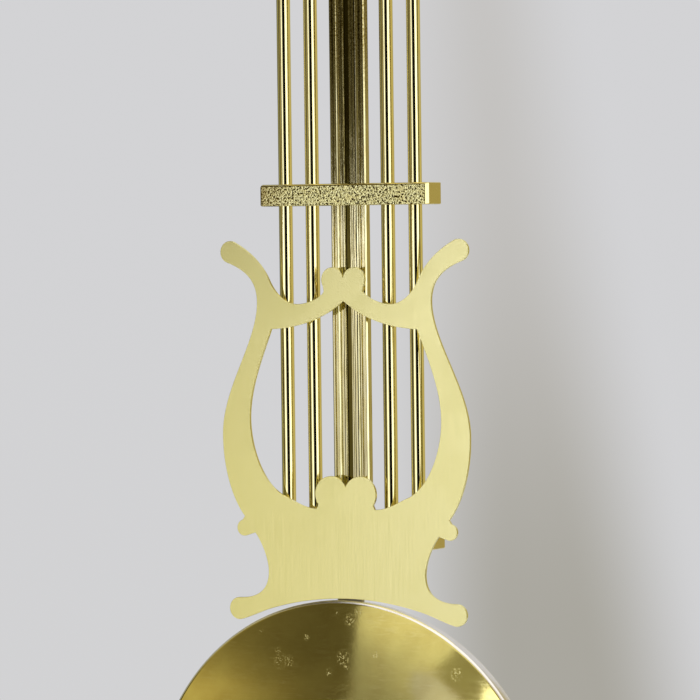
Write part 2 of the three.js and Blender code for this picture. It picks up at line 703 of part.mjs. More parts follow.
function lyreFixings() {
  const pieces = [];
  const studEnd = crossbarBack + LYRE_NUT_HEIGHT + LYRE_STUD_BEYOND_NUT;
  const corner = LYRE_NUT_ACROSS_FLATS / Math.sqrt(3);
  [-LYRE_STUD_X, LYRE_STUD_X].forEach((x, i) => {
    const side = ["left", "right"][i];
    const stud = rodAlongY(LYRE_STUD_D / 2, lyreBack, studEnd, x, lowerBarZ);
    pieces.push(part(`lyre_stud_${side}`, stud, "polishedBrass"));
    const nut = rodAlongY(corner, crossbarBack, crossbarBack + LYRE_NUT_HEIGHT, x, lowerBarZ, 6);
    const bore = rodAlongY(LYRE_STUD_D / 2 + FIT, crossbarBack - 1, studEnd + 1, x, lowerBarZ);
    pieces.push(part(`lyre_nut_${side}`, cut(nut, [bore]), "polishedBrass"));
  });
  const post = rodAlongY(LYRE_POST_D / 2, lyreBack, barFront, 0, -LYRE_POST_DROP);
  const thread = rodAlongY(
    SCREW_D / 2 + FIT,
    barFront - LYRE_POST_SCREW_REACH - FIT,
    barFront + 1,
    0,
    -LYRE_POST_DROP,
    SMALL_STEPS,
  );
  pieces.push(part("lyre_post", cut(post, [thread]), "polishedBrass"));
  const postScrew = part("lyre_post_screw", screw(BAR_THICKNESS + LYRE_POST_SCREW_REACH), "steel");
  pieces.push(placed(postScrew, 0, barBack, -LYRE_POST_DROP));
  return pieces;
}

// Steel strip: straight behind the bar, joggled forward under the crossbar, then straight behind the bob.

const bobZ = -ARCH_CROWN_DROP - BOB_BELOW_LYRE - BOB_D / 2;
const bobBottom = bobZ - BOB_D / 2;
const forkBottom = bobBottom + RATING_FORK_ABOVE_BOB_EDGE;
const forkTop = forkBottom + RATING_FORK_HEIGHT;
const stripBottom = forkTop - FORK_GRIP;
const stripTop = lowerBarZ + CROSSBAR_HEIGHT / 2 + STRIP_ABOVE_CROSSBAR;

function pendulumStrip() {
  const half = STRIP_THICKNESS / 2;
  const joggleTop = lowerUnderside - STRIP_BELOW_CROSSBAR;
  const joggleBottom = joggleTop - STRIP_JOGGLE_HEIGHT;
  const outline = polygon([
    [barBack, stripTop],
    [barBack, joggleTop],
    [STRIP_Y - half, joggleBottom],
    [STRIP_Y - half, stripBottom],
    [STRIP_Y + half, stripBottom],
    [STRIP_Y + half, joggleBottom],
    [stripBack, joggleTop],
    [stripBack, stripTop],
  ]);
  const body = sideProfile(outline, -STRIP_WIDTH / 2, STRIP_WIDTH / 2);
  const holes = [-STRIP_SCREW_X, STRIP_SCREW_X].map((x) =>
    rodAlongY(SCREW_D / 2 + FIT, barBack - 1, stripBack + 1, x, lowerBarZ, SMALL_STEPS),
  );
  const forkBore = FORK_RIVET_D / 2 + FIT;
  holes.push(
    rodAlongY(forkBore, STRIP_Y - 2, STRIP_Y + 2, 0, stripBottom + FORK_GRIP / 2, SMALL_STEPS),
  );
  // The end that enters the fork is as wide as the fork.
  const shoulder = RATING_FORK_WIDTH / 2;
  const endTop = forkTop + FIT * 2;
  for (const side of [-1, 1]) {
    const edges = [side * shoulder, side * STRIP_WIDTH].sort((a, b) => a - b);
    holes.push(block([edges[0], STRIP_Y - 2, stripBottom - 1], [edges[1], STRIP_Y + 2, endTop]));
  }
  return part("pendulum_strip", cut(body, holes), "steel");
}

function stripScrews() {
  const length = crossbarBack - barFront - FIT;
  return ["strip_screw_left", "strip_screw_right"].map((name, i) =>
    placed(part(name, screw(length), "steel"), [-STRIP_SCREW_X, STRIP_SCREW_X][i], crossbarBack, lowerBarZ),
  );
}

// Rating screw and nut

const nutTop = bobBottom - REST_GAP;
const nutBottom = nutTop - NUT_FLANGE_HEIGHT - NUT_HUB_HEIGHT;
const peenedTop = nutBottom - BOB_TRAVEL_DOWN - REST_GAP;
const peenedBottom = peenedTop - PEENED_END_HEIGHT;

function ratingScrew() {
  const depth = RATING_FORK_DEPTH / 2;
  const fork = block(
    [-RATING_FORK_WIDTH / 2, STRIP_Y - depth, forkBottom],
    [RATING_FORK_WIDTH / 2, STRIP_Y + depth, forkTop],
  );
  const shank = rodAlongZ(RATING_SCREW_D / 2, peenedTop - 0.5, forkBottom + 1, 0, STRIP_Y);
  const end = rodAlongZ(PEENED_END_D / 2, peenedBottom, peenedTop, 0, STRIP_Y);
  const half = STRIP_THICKNESS / 2 + FIT;
  const cuts = [
    block(
      [-RATING_FORK_WIDTH, STRIP_Y - half, stripBottom - FIT],
      [RATING_FORK_WIDTH, STRIP_Y + half, forkTop + 1],
    ),
    rodAlongY(
      FORK_RIVET_D / 2 + FIT,
      STRIP_Y - depth - 1,
      STRIP_Y + depth + 1,
      0,
      stripBottom + FORK_GRIP / 2,
      SMALL_STEPS,
    ),
  ];
  return part("rating_screw", cut(join([fork, shank, end]), cuts), "steel");
}

function forkRivet() {
  const geometry = rivet(FORK_RIVET_D, FORK_RIVET_HEAD_D, FORK_RIVET_HEAD_HEIGHT, RATING_FORK_DEPTH);
  const front = STRIP_Y - RATING_FORK_DEPTH / 2;
  return placed(part("fork_rivet", geometry, "steel"), 0, front, stripBottom + FORK_GRIP / 2);
}

function ratingNut() {
  const knurled = [];
  for (let i = 0; i < NUT_KNURLS * 2; i++) {
    const radius = NUT_D / 2 - (i % 2) * NUT_KNURL_DEPTH;
    const angle = (i * Math.PI) / NUT_KNURLS;
    knurled.push([radius * Math.cos(angle), radius * Math.sin(angle)]);
  }
  const flange = section(polygon(knurled), nutTop - NUT_FLANGE_HEIGHT, nutTop);
  const hub = rodAlongZ(NUT_HUB_D / 2, nutBottom, nutTop - NUT_FLANGE_HEIGHT + 1, 0, 0);
  const bore = rodAlongZ(RATING_SCREW_D / 2 + THREAD_PLAY, nutBottom - 1, nutTop + 1, 0, 0);
  const nut = cut(join([flange, hub]), [bore]);
  return placed(part("rating_nut", nut, "polishedBrass"), 0, STRIP_Y, 0);
}

// Bob, from its centre; Y is still measured from the rods' plane

const bobR = BOB_D / 2;
const guideOffset = bobR - GUIDE_FROM_EDGE;
const rimFront = BOB_BACK_Y - BOB_RIM_DEPTH;
const hemInside = BOB_BACK_Y - BOB_SHEET;
const backPlateBack = hemInside - FIT * 2;
const backPlateFront = backPlateBack - BACK_PLATE_THICKNESS;
const weightBack = backPlateFront - WEIGHT_STAND_OFF;
const weightFront = weightBack - WEIGHT_THICKNESS;

// Points of the dome and its rounded shoulder, from the middle outwards. The offset is how far they
// lie inside the outer face.
function domeProfile(offset, domeSteps, shoulderSteps) {
  const points = [];
  const shoulder = BOB_SHOULDER_R;
  const domeEdge = bobR - shoulder;
  const domeR = (domeEdge ** 2 + BOB_DOME_HEIGHT ** 2) / (2 * BOB_DOME_HEIGHT);
  const domeCentre = rimFront - BOB_DOME_HEIGHT + domeR;
  const lean = Math.asin(domeEdge / domeR);
  for (let i = 0; i <= domeSteps; i++) {
    const angle = (lean * i) / domeSteps;
    const radius = domeR - offset;
    points.push([radius * Math.sin(angle), domeCentre - radius * Math.cos(angle)]);
  }
  for (let i = 1; i <= shoulderSteps; i++) {
    const angle = lean + ((Math.PI / 2 - lean) * i) / shoulderSteps;
    const radius = shoulder - offset;
    points.push([domeEdge + radius * Math.sin(angle), rimFront + shoulder - radius * Math.cos(angle)]);
  }
  points[0][0] = 0;
  return points;
}

function bobShell() {
  const roll = BOB_SHEET * 0.7;
  const profile = [
    ...domeProfile(0, 7, 3),
    [bobR, BOB_BACK_Y - roll],
    [bobR - roll, BOB_BACK_Y],
    [bobR - BOB_HEM_WIDTH, BOB_BACK_Y],
    [bobR - BOB_HEM_WIDTH, hemInside],
    [bobR - BOB_SHEET, hemInside],
    ...domeProfile(BOB_SHEET, 4, 2).reverse(),
  ];
  return part("bob_shell", turned(profile, BOB_STEPS), "spunBrass");
}

function bobBackPlate() {
  const disc = rodAlongY(bobR - BOB_SHEET - FIT * 2, backPlateFront, backPlateBack, 0, 0, BOB_STEPS);
  const holes = [
    rodAlongY(CENTRE_RIVET_D / 2 + FIT, backPlateFront - 1, backPlateBack + 1, 0, 0),
  ];
  for (const x of [-guideRivetX, guideRivetX]) {
    for (const z of [-guideOffset, guideOffset]) {
      holes.push(
        rodAlongY(GUIDE_RIVET_D / 2 + FIT, backPlateFront - 1, backPlateBack + 1, x, z, SMALL_STEPS),
      );
    }
  }
  return part("bob_back_plate", cut(disc, holes), "steel");
}

function bobWeight() {
  const disc = rodAlongY(WEIGHT_D / 2, weightFront, weightBack, 0, 0, BOB_STEPS / 2);
  const hole = rodAlongY(CENTRE_RIVET_D / 2 + FIT, weightFront - 1, weightBack + 1, 0, 0);
  return part("bob_weight", cut(disc, [hole]), "iron");
}

// The rivet that holds the weight off the back plate by its collar.
function centreRivet() {
  const head = CENTRE_RIVET_HEAD_D / 2;
  const shank = CENTRE_RIVET_D / 2;
  const geometry = turned(
    [
      [0, weightFront - CENTRE_RIVET_HEAD_HEIGHT],
      [head * 0.6, weightFront - CENTRE_RIVET_HEAD_HEIGHT * 0.8],
      [head, weightFront],
      [shank, weightFront],
      [shank, weightBack],
      [head, weightBack],
      [head, backPlateFront],
      [shank, backPlateFront],
      [shank, backPlateBack],
      [head, backPlateBack],
      [head * 0.6, backPlateBack + CENTRE_RIVET_HEAD_HEIGHT * 0.8],
      [0, backPlateBack + CENTRE_RIVET_HEAD_HEIGHT],
    ],
    ROUND_STEPS,
  );
  return part("bob_centre_rivet", geometry, "steel");
}

const guideInside = STRIP_WIDTH / 2 + RUN;
const guideOutside = guideInside + GUIDE_SHEET;
const guideRivetX = guideOutside + GUIDE_FOOT_LENGTH / 2;

// A strap bent over the strip, with a foot on each side riveted to the back plate.
function bobGuide(name, z) {
  const roof = STRIP_Y + STRIP_THICKNESS / 2 + RUN;
  const foot = guideOutside + GUIDE_FOOT_LENGTH;
  const right = [
    [guideInside, roof],
    [guideInside, backPlateBack],
    [foot, backPlateBack],
    [foot, backPlateBack + GUIDE_SHEET],
    [guideOutside, backPlateBack + GUIDE_SHEET],
    [guideOutside, roof + GUIDE_SHEET],
  ];
  const left = [...right].reverse().map(([x, y]) => [-x, y]);
  const half = GUIDE_HEIGHT / 2;
  const body = section(polygon([...right, ...left]), z - half, z + half);
  const holes = [-guideRivetX, guideRivetX].map((x) =>
    rodAlongY(GUIDE_RIVET_D / 2 + FIT, backPlateBack - 1, backPlateBack + 2, x, z, SMALL_STEPS),
  );
  return part(name, cut(body, holes), "steel");
}

function guideRivets() {
  const pieces = [];
  for (const [height, z] of [["upper", guideOffset], ["lower", -guideOffset]]) {
    for (const [side, x] of [["left", -guideRivetX], ["right", guideRivetX]]) {
      const geometry = rivet(
        GUIDE_RIVET_D,
        GUIDE_RIVET_HEAD_D,
        GUIDE_RIVET_HEAD_HEIGHT,
        BACK_PLATE_THICKNESS + GUIDE_SHEET,
      );
      const mesh = part(`guide_rivet_${height}_${side}`, geometry, "steel");
      pieces.push(placed(mesh, x, backPlateFront, z));
    }
  }
  return pieces;
}

// A bowed leaf under the upper guide, pressed flat between the back plate and the strip.
function frictionSpring() {
  const top = guideOffset + GUIDE_HEIGHT / 2 - 1;
  const bottom = top - FRICTION_SPRING_LENGTH;
  const rise = STRIP_Y - STRIP_THICKNESS / 2 - FIT * 2 - (backPlateBack + FIT * 2) - FRICTION_SPRING_SHEET;
  const steps = CURVE_STEPS * 2;
  const under = [];
  for (let i = 0; i <= steps; i++) {
    const z = bottom + (FRICTION_SPRING_LENGTH * i) / steps;
    under.push([backPlateBack + FIT * 2 + rise * Math.sin((Math.PI * i) / steps) ** 2, z]);
  }
  const over = [...under].reverse().map(([y, z]) => [y + FRICTION_SPRING_SHEET, z]);
  const half = FRICTION_SPRING_WIDTH / 2;
  return part("friction_spring", sideProfile(polygon([...under, ...over]), -half, half), "springSteel");
}

function bob() {
  const group = new THREE.Group();
  group.position.set(0, 0, bobZ);
  group.add(bobShell(), bobBackPlate(), bobWeight(), centreRivet());
  group.add(bobGuide("guide_upper", guideOffset), bobGuide("guide_lower", -guideOffset));
  group.add(...guideRivets(), frictionSpring());
  return group;
}

// The whole pendulum

function frame() {
  const group = new THREE.Group();
  group.position.set(0, FRAME_SET_BACK, frameZ);
  const stripHalf = STRIP_WIDTH / 2 + FIT;
  const low = lowerUnderside - 1;
  const high = lowerBarZ + CROSSBAR_HEIGHT / 2 + 1;
  const lowerCuts = [block([-stripHalf, 0, low], [stripHalf, stripBack + FIT, high])];
  for (const x of [-STRIP_SCREW_X, STRIP_SCREW_X]) {
    lowerCuts.push(rodAlongY(SCREW_D / 2 + FIT, 0, crossbarBack + 1, x, lowerBarZ, SMALL_STEPS));
  }
  for (const x of [-LYRE_STUD_X, LYRE_STUD_X]) {
    lowerCuts.push(rodAlongY(LYRE_STUD_D / 2 + FIT, crossbarFront - 1, crossbarBack + 1, x, lowerBarZ));
  }
  const outerRods = [-ROD_OUTER_X, ROD_OUTER_X];
  group.add(crossbar("crossbar_top", upperBarZ, "from below", rodXs, []));
  group.add(crossbar("crossbar_middle", 0, "through", outerRods, []));
  group.add(crossbar("crossbar_lower", lowerBarZ, "from above", rodXs, lowerCuts));
  group.add(...setScrews("top", upperBarZ, rodXs));
  group.add(...setScrews("middle", 0, outerRods));
  group.add(...setScrews("lower", lowerBarZ, rodXs));
  group.add(centreBar(), ...rods());
  group.add(lyrePlate(), ...lyreFixings());
  group.add(pendulumStrip(), ...stripScrews());
  group.add(ratingScrew(), forkRivet(), ratingNut());
  group.add(bob());
  return group;
}

const pendulum = new THREE.Group();
pendulum.add(suspension(), hookGroup(), frame());

export default pendulum;
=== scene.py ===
import math

import bmesh
import bpy
from mathutils import Matrix, Vector


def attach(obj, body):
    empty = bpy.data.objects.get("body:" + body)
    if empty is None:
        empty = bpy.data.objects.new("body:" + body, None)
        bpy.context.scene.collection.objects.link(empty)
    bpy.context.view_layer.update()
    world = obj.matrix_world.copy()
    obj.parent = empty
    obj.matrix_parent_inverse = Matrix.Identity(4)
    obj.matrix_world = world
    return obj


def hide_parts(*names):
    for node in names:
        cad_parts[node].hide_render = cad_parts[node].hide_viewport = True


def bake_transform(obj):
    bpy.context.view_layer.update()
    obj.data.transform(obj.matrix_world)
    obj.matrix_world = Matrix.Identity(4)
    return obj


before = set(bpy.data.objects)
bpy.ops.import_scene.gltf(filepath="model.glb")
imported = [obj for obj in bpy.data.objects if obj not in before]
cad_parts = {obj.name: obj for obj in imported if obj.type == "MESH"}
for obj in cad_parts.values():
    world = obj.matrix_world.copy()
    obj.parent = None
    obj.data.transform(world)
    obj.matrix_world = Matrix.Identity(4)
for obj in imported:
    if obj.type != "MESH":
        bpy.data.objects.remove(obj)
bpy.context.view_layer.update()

# The camera stands to the right of the pendulum's front, with a long lens. Its angles are in degrees
# and its places in metres, and it aims at the opening of the lyre.
camera_azimuth, camera_rise, camera_roll = 28.5, 1.57129, -0.69476
camera_aim, camera_distance = (0.001927, 0, -0.185073), 1.278293


def placed(name, data):
    """A new object in the scene."""
    obj = bpy.data.objects.new(name, data)
    bpy.context.scene.collection.objects.link(obj)
    return obj


camera_turn = (
    Matrix.Rotation(math.radians(camera_azimuth), 4, "Z")
    @ Matrix.Rotation(math.radians(90 - camera_rise), 4, "X")
    @ Matrix.Rotation(math.radians(camera_roll), 4, "Z")
)
camera_right, camera_up = camera_turn.col[0].xyz, camera_turn.col[1].xyz
camera_data = bpy.data.cameras.new("camera")
camera_data.sensor_width = 36
camera_data.lens = 231.4
camera_data.clip_start = 0.05
camera_data.clip_end = 60
camera = placed("camera", camera_data)
camera_stand = Matrix.Translation((0, 0, camera_distance))
camera.matrix_world = Matrix.Translation(camera_aim) @ camera_turn @ camera_stand
bpy.context.scene.camera = camera
bpy.context.scene.view_settings.view_transform = "Standard"

# The wall behind is a plain pale grey with a soft shadow band to the right of the pendulum that
# deepens downwards. It is the world, so that the metal mirrors it as well.
world = bpy.data.worlds.new("studio wall")
bpy.context.scene.world = world
world.use_nodes = True
wall = world.node_tree


def fill(tree, node, **values):
    """Sets or links a node's inputs, by name with _ for a space, or by number as i0, i1 and i2. Each
    link in a list goes into the same input."""
    for key, value in values.items():
        socket = node.inputs[int(key[1:])] if key[1:].isdigit() else node.inputs[key.replace("_", " ")]
        for item in value if isinstance(value, list) else [value]:
            if isinstance(item, bpy.types.NodeSocket):
                tree.links.new(item, socket)
            else:
                socket.default_value = item


def add_node(tree, kind, operation=None, called=None, group=None, **values):
    """A new node with its inputs filled."""
    node = tree.nodes.new(kind)
    if kind == "ShaderNodeMix":
        node.data_type = "RGBA"
    if operation:
        node.operation = operation
    if called:
        node.name = called
    if group:
        node.node_tree = group
    fill(tree, node, **values)
    return node


def maths(tree, operation, *values):
    """The outcome of one sum on numbers or links."""
    inputs = {f"i{place}": value for place, value in enumerate(values)}
    return add_node(tree, "ShaderNodeMath", operation, **inputs).outputs[0]


def ramp(tree, value, low, high, first=0.0, last=1.0, smooth=False):
    """A value that goes from first to last while another one goes from low to high."""
    node = add_node(
        tree, "ShaderNodeMapRange", Value=value, From_Min=low, From_Max=high, To_Min=first, To_Max=last
    )
    node.interpolation_type = "SMOOTHSTEP" if smooth else "LINEAR"
    return node.outputs["Result"]


def coloured(tree, share, first, second):
    """The first colour where the share is 0 and the second where it is 1. Each is a link or a tuple."""
    first, second = [(*side, 1) if isinstance(side, tuple) else side for side in (first, second)]
    return add_node(tree, "ShaderNodeMix", Factor=share, A=first, B=second).outputs["Result"]


def wall_slope(direction, low, high):
    """How far a direction leans along another one, from 0 at low to 1 at high."""
    looking = add_node(wall, "ShaderNodeTexCoord").outputs["Generated"]
    lean = add_node(wall, "ShaderNodeVectorMath", "DOT_PRODUCT", i0=looking, i1=direction)
    return ramp(wall, lean.outputs["Value"], low, high, smooth=True)


wall_lean = (camera_right + camera_up * 0.20).normalized()
wall_start, wall_stop = wall_slope(camera_right, 0.004, 0.036), wall_slope(wall_lean, 0.068, 0.038)
wall_band = maths(wall, "MULTIPLY", wall_start, wall_stop)
wall_low = wall_slope(camera_up, 0.045, -0.068)
wall_dim = coloured(wall, wall_low, (0.545, 0.532, 0.515), (0.398, 0.384, 0.342))
wall_plain = coloured(wall, wall_low, (0.650, 0.650, 0.664), (0.645, 0.645, 0.655))
wall_rays = add_node(wall, "ShaderNodeLightPath").outputs
wall_seen = maths(wall, "MAXIMUM", wall_rays["Is Camera Ray"], wall_rays["Is Glossy Ray"])
fill(
    wall, wall.nodes["Background"], Color=coloured(wall, wall_band, wall_plain, wall_dim),
    Strength=ramp(wall, wall_seen, 0, 1, 0.7, 1.0),
)


# The room that the brass mirrors: bright panels and dark screens that stand round the pendulum, out
# of the camera's sight. Each column is [degrees from the front, positive to the right] and a row of
# [height in metres, brightness], and the brightness fades evenly from one to the next.
def glowing(name, points, glows, faces, colour):
    mesh = bpy.data.meshes.new(name)
    mesh.from_pydata(points, [], faces)
    mesh.attributes.new("glow", "FLOAT", "POINT").data.foreach_set("value", glows)
    material = bpy.data.materials.new(name)
    material.use_nodes = True
    tree = material.node_tree
    tree.nodes.remove(tree.nodes["Principled BSDF"])
    level = add_node(tree, "ShaderNodeAttribute")
    level.attribute_name = "glow"
    light = add_node(tree, "ShaderNodeEmission", Color=(*colour, 1), Strength=level.outputs["Fac"])
    fill(tree, tree.nodes["Material Output"], Surface=light.outputs["Emission"])
    mesh.materials.append(material)
    obj = placed(name, mesh)
    obj.visible_camera = False
    obj.visible_shadow = False
    return obj


def screen(name, columns, colour, radius=5.0):
    points, glows, faces = [], [], []
    rows = len(columns[0][1])
    for azimuth, levels in columns:
        turn = math.radians(azimuth)
        for height, glow in levels:
            points.append((radius * math.sin(turn), -radius * math.cos(turn), height))
            glows.append(glow)
    for i in range(len(columns) - 1):
        for k in range(rows - 1):
            a = i * rows + k
            faces.append((a, a + 1, a + rows + 1, a + rows))
    glowing(name, points, glows, faces, colour)


def even(start, end, levels, step=4):
    """Columns from one azimuth to another that all have the same levels."""
    count = max(1, round(abs(end - start) / step))
    return [(start + (end - start) * i / count, levels) for i in range(count + 1)]


def band(glow, calm=0.55):
    """Levels of a screen whose brightness matters at the lyre's height and is calm far below and above."""
    return [(-3, calm), (-1.5, calm), (-1.1, glow), (0.45, glow), (0.8, calm), (4, calm)]


screen(
    "left wall",
    even(-152, -108, band(0.13, 0.30)) + even(-104, -68, band(0.29, 0.40)) + [(-66, band(0.28, 0.40))],
    (1.0, 0.97, 0.60),
)
screen(
    "dark gap", [(-66, band(0.05, 0.40)), (-58, band(0.03, 0.40)), (-50, band(0.04, 0.40))],
    (1.0, 0.86, 0.45),
)
screen(
    "dark curtain",
    [(azimuth, [(-3, 0.5), (-1.5, 0.5), (-1.1, foot), (-0.32, foot), (-0.20, low), (0.0, low),
                (0.14, middle), (0.36, high), (4, high)])
     for azimuth, foot, low, middle, high in (
         (-50, 0.20, 0.42, 0.42, 0.38), (-48, 0.16, 0.58, 0.48, 0.36), (-43, 0.09, 0.54, 0.36, 0.22),
         (-37, 0.08, 0.29, 0.21, 0.14), (-32, 0.08, 0.15, 0.14, 0.11), (-28, 0.07, 0.10, 0.12, 0.105),
         (-22, 0.08, 0.10, 0.12, 0.10))],
    (1.0, 0.86, 0.45), 5.2,
)
screen(
    "low left panel",
    [(azimuth, [(-3, 0.75), (-0.55, 0.72), (top, 0.94)])
     for azimuth, top in ((-36, -0.48), (-33, -0.34), (-31, -0.26), (-29.2, -0.15))],
    (1.0, 0.955, 0.56), 5.1,
)
screen(
    "low right panel",
    [(azimuth, [(-3, low), (-0.45, low), (-0.26, rise), (top, rise)])
     for azimuth, top, low, rise in ((-29.2, -0.15, 0.83, 0.95), (-28.2, -0.11, 0.84, 1.10),
                                     (-27.5, -0.07, 0.78, 1.45), (-24, -0.06, 0.72, 1.50))],
    (1.0, 0.985, 1.08), 5.1,
)
screen(
    "horn light", [(-27.5, [(-0.25, 3.4), (-0.09, 3.4)]), (-24.0, [(-0.25, 3.8), (-0.08, 3.8)])],
    (0.94, 0.97, 1.18), 5.05,
)
screen(
    "bright panel",
    [(azimuth, [(-0.14, foot), (0.06, foot), (knee, low), (top, high), (4, high)])
     for azimuth, foot, knee, low, top, high in (
         (-27, 0.28, 0.40, 0.38, 0.66, 0.74), (-23, 0.34, 0.31, 0.49, 0.60, 0.95),
         (-19, 0.46, 0.28, 0.72, 0.60, 0.98), (-16, 0.44, 0.28, 0.78, 0.60, 0.96),
         (2, 0.40, 0.28, 0.70, 0.60, 0.90))],
    (1.0, 0.975, 0.82),
)
screen(
    "brown corner",
    [(-18.4, [(0.28, 0.42), (0.29, 0.42)]), (-17.5, [(0.21, 0.36), (0.35, 0.34)]),
     (-16.4, [(0.14, 0.34), (0.44, 0.31)]), (-15.2, [(0.07, 0.34), (0.56, 0.29)]),
     (-13.6, [(-0.03, 0.32), (0.72, 0.28)]), (2, [(-0.10, 0.27), (0.90, 0.27)])],
    (1.0, 0.94, 0.62), 4.95,
)
screen(
    "strip light",
    [(azimuth, [(-3, 0.7), (-1.5, 0.7), (-1.1, glow), (top, glow)])
     for azimuth, top, glow in ((-24.5, -0.14, 0.75), (-21, -0.12, 1.55), (-13.6, -0.10, 1.75),
                                (-12.4, 0.30, 2.3), (-8, 0.30, 2.3), (-5.5, 0.30, 0.88), (5, 0.30, 0.84))],
    (0.97, 1.0, 1.06), 4.9,
)
screen(
    "pale patch",
    [(-20.6, [(0.12, 0.50), (0.26, 0.60)]), (-19.6, [(0.00, 0.62), (0.27, 0.70)]),
     (-18.4, [(-0.04, 0.80), (0.26, 0.72)]), (-17.4, [(-0.08, 0.90), (0.195, 0.78)]),
     (-15.6, [(-0.12, 0.95), (0.085, 0.82)]), (-14.4, [(-0.14, 0.95), (0.0, 0.80)])],
    (0.84, 0.84, 1.04), 4.93,
)
screen("dark screen", even(5.5, 48, band(0.006, 0.60)), (1.0, 0.90, 0.75))
screen("window", even(48.5, 81, band(1.95, 0.80)), (0.98, 1.0, 1.04))
screen("right wall", even(81, 110, band(0.20, 0.40)), (1.0, 0.87, 0.24))
screen(
    "rear right wall", even(112, 146, band(0.62, 0.50)) + even(150, 166, band(0.43, 0.45)),
    (1.0, 0.86, 0.40),
)

# The ceiling is dark over the left half of the room and pale over the right, where only the metal's
# upward edges mirror it.
for name, left, right, level, colour in (
    ("dark ceiling", -14, -2.4, 0.07, (1.0, 0.82, 0.4)), ("pale ceiling", -2.4, 7, 1.2, (1.0, 0.98, 0.94)),
):
    corners = [(left, -8, 5), (right, -8, 5), (right, 2, 5), (left, 2, 5)]
    ceiling = glowing(name, corners, [level] * 4, [(0, 1, 2, 3)], colour)
    ceiling.visible_diffuse = False

# The lamp overhead gives the floor its soft shadow and the upward edges their light.
lamp_data = bpy.data.lights.new("overhead lamp", "AREA")
lamp_data.shape = "DISK"
lamp_data.size = 1.2
lamp_data.energy = 32
lamp = placed("overhead lamp", lamp_data)
lamp.visible_glossy = False
lamp.matrix_world = Matrix.Translation((-0.3, -0.5, 2.2)) @ Matrix.Rotation(math.radians(-8), 4, "Y")

# The floor is a pale disc below the pendulum whose edge fades into the wall. It is in metres.
floor_r, floor_z, floor_sides = 1.15, -0.452, 96
floor_mesh = bpy.data.meshes.new("floor")
floor_turns = [math.tau * i / floor_sides for i in range(floor_sides)]
floor_rim = [(floor_r * math.cos(turn), floor_r * math.sin(turn), floor_z) for turn in floor_turns]
floor_mesh.from_pydata(
    [(0, 0, floor_z), *floor_rim], [], [(0, i + 1, (i + 1) % floor_sides + 1) for i in range(floor_sides)]
)
floor_finish = bpy.data.materials.new("floor")
floor_finish.use_nodes = True
floor_tree = floor_finish.node_tree
floor_place = add_node(floor_tree, "ShaderNodeTexCoord").outputs["Object"]
floor_flat = add_node(floor_tree, "ShaderNodeVectorMath", "MULTIPLY", i0=floor_place, i1=(1, 1, 0))
floor_reach = add_node(floor_tree, "ShaderNodeVectorMath", "LENGTH", i0=floor_flat.outputs["Vector"])
fill(
    floor_tree, floor_tree.nodes["Principled BSDF"], Base_Color=(0.66, 0.66, 0.65, 1), Roughness=0.9,
    Alpha=ramp(floor_tree, floor_reach.outputs["Value"], 0.45, 1.12, 1, 0, smooth=True),
)
floor_mesh.materials.append(floor_finish)
placed("floor", floor_mesh)


# Two brass cheeks grip the upper ends of the suspension spring's leaves. They are small sawn blocks
# with broken edges, riveted through the leaves, and a steel pin through them hangs in the clock.
MM = 0.001
cheek_gap, cheek_thickness, block_width, block_height, block_edge = 0.25, 1.25, 9, 7, 0.18
top_block_foot, foot_block_top = -4.25, -12.25
pin_d, pin_bevel, suspension_pin_length, cross_pin_length, cross_pin_z = 2, 0.2, 11, 12, -16.75


def tree_of_nodes(kind, name, inputs, outputs):
    """An empty node tree with named inputs, each [name, kind, usual value], and named outputs."""
    tree = bpy.data.node_groups.new(name, kind)
    for label, sort, value in inputs:
        socket = tree.interface.new_socket(label, in_out="INPUT", socket_type="NodeSocket" + sort)
        if value is not None:
            socket.default_value = value
    for label, sort in outputs:
        tree.interface.new_socket(label, in_out="OUTPUT", socket_type="NodeSocket" + sort)
    return tree, tree.nodes.new("NodeGroupInput").outputs, tree.nodes.new("NodeGroupOutput")


def noise(tree, place, size, detail, roughness=0.5, distortion=0.0):
    return add_node(
        tree, "ShaderNodeTexNoise", Vector=place, Scale=size, Detail=detail, Roughness=roughness,
        Distortion=distortion,
    ).outputs["Fac"]


# Fine lines, as a wheel, a brush or a drawing die leaves them. Stretch says how close they lie.
grain_group, grain_in, grain_end = tree_of_nodes(
    "ShaderNodeTree", "fine lines",
    [("Vector", "Vector", None), ("Stretch", "Vector", (1000, 1000, 1000))],
    [("Lines", "Float"), ("Broad", "Float")],
)
grain_scale = add_node(
    grain_group, "ShaderNodeVectorMath", "MULTIPLY", i0=grain_in["Vector"], i1=grain_in["Stretch"]
).outputs["Vector"]
for label, share, depth in (("Lines", 1.0, 2.0), ("Broad", 0.22, 3.0)):
    wider = add_node(grain_group, "ShaderNodeVectorMath", "SCALE", i0=grain_scale, Scale=share)
    fill(grain_group, grain_end, **{label: noise(grain_group, wider.outputs["Vector"], 1, depth, 0.6)})

# Marks of handling are soft smudges.
marks_group, marks_in, marks_end = tree_of_nodes(
    "ShaderNodeTree", "handling marks", [("Vector", "Vector", None), ("Size", "Float", 60.0)],
    [("Smudge", "Float")],
)
smudges = noise(marks_group, marks_in["Vector"], marks_in["Size"], 5, 0.62, 0.6)
fill(marks_group, marks_end, Smudge=ramp(marks_group, smudges, 0.46, 0.68))


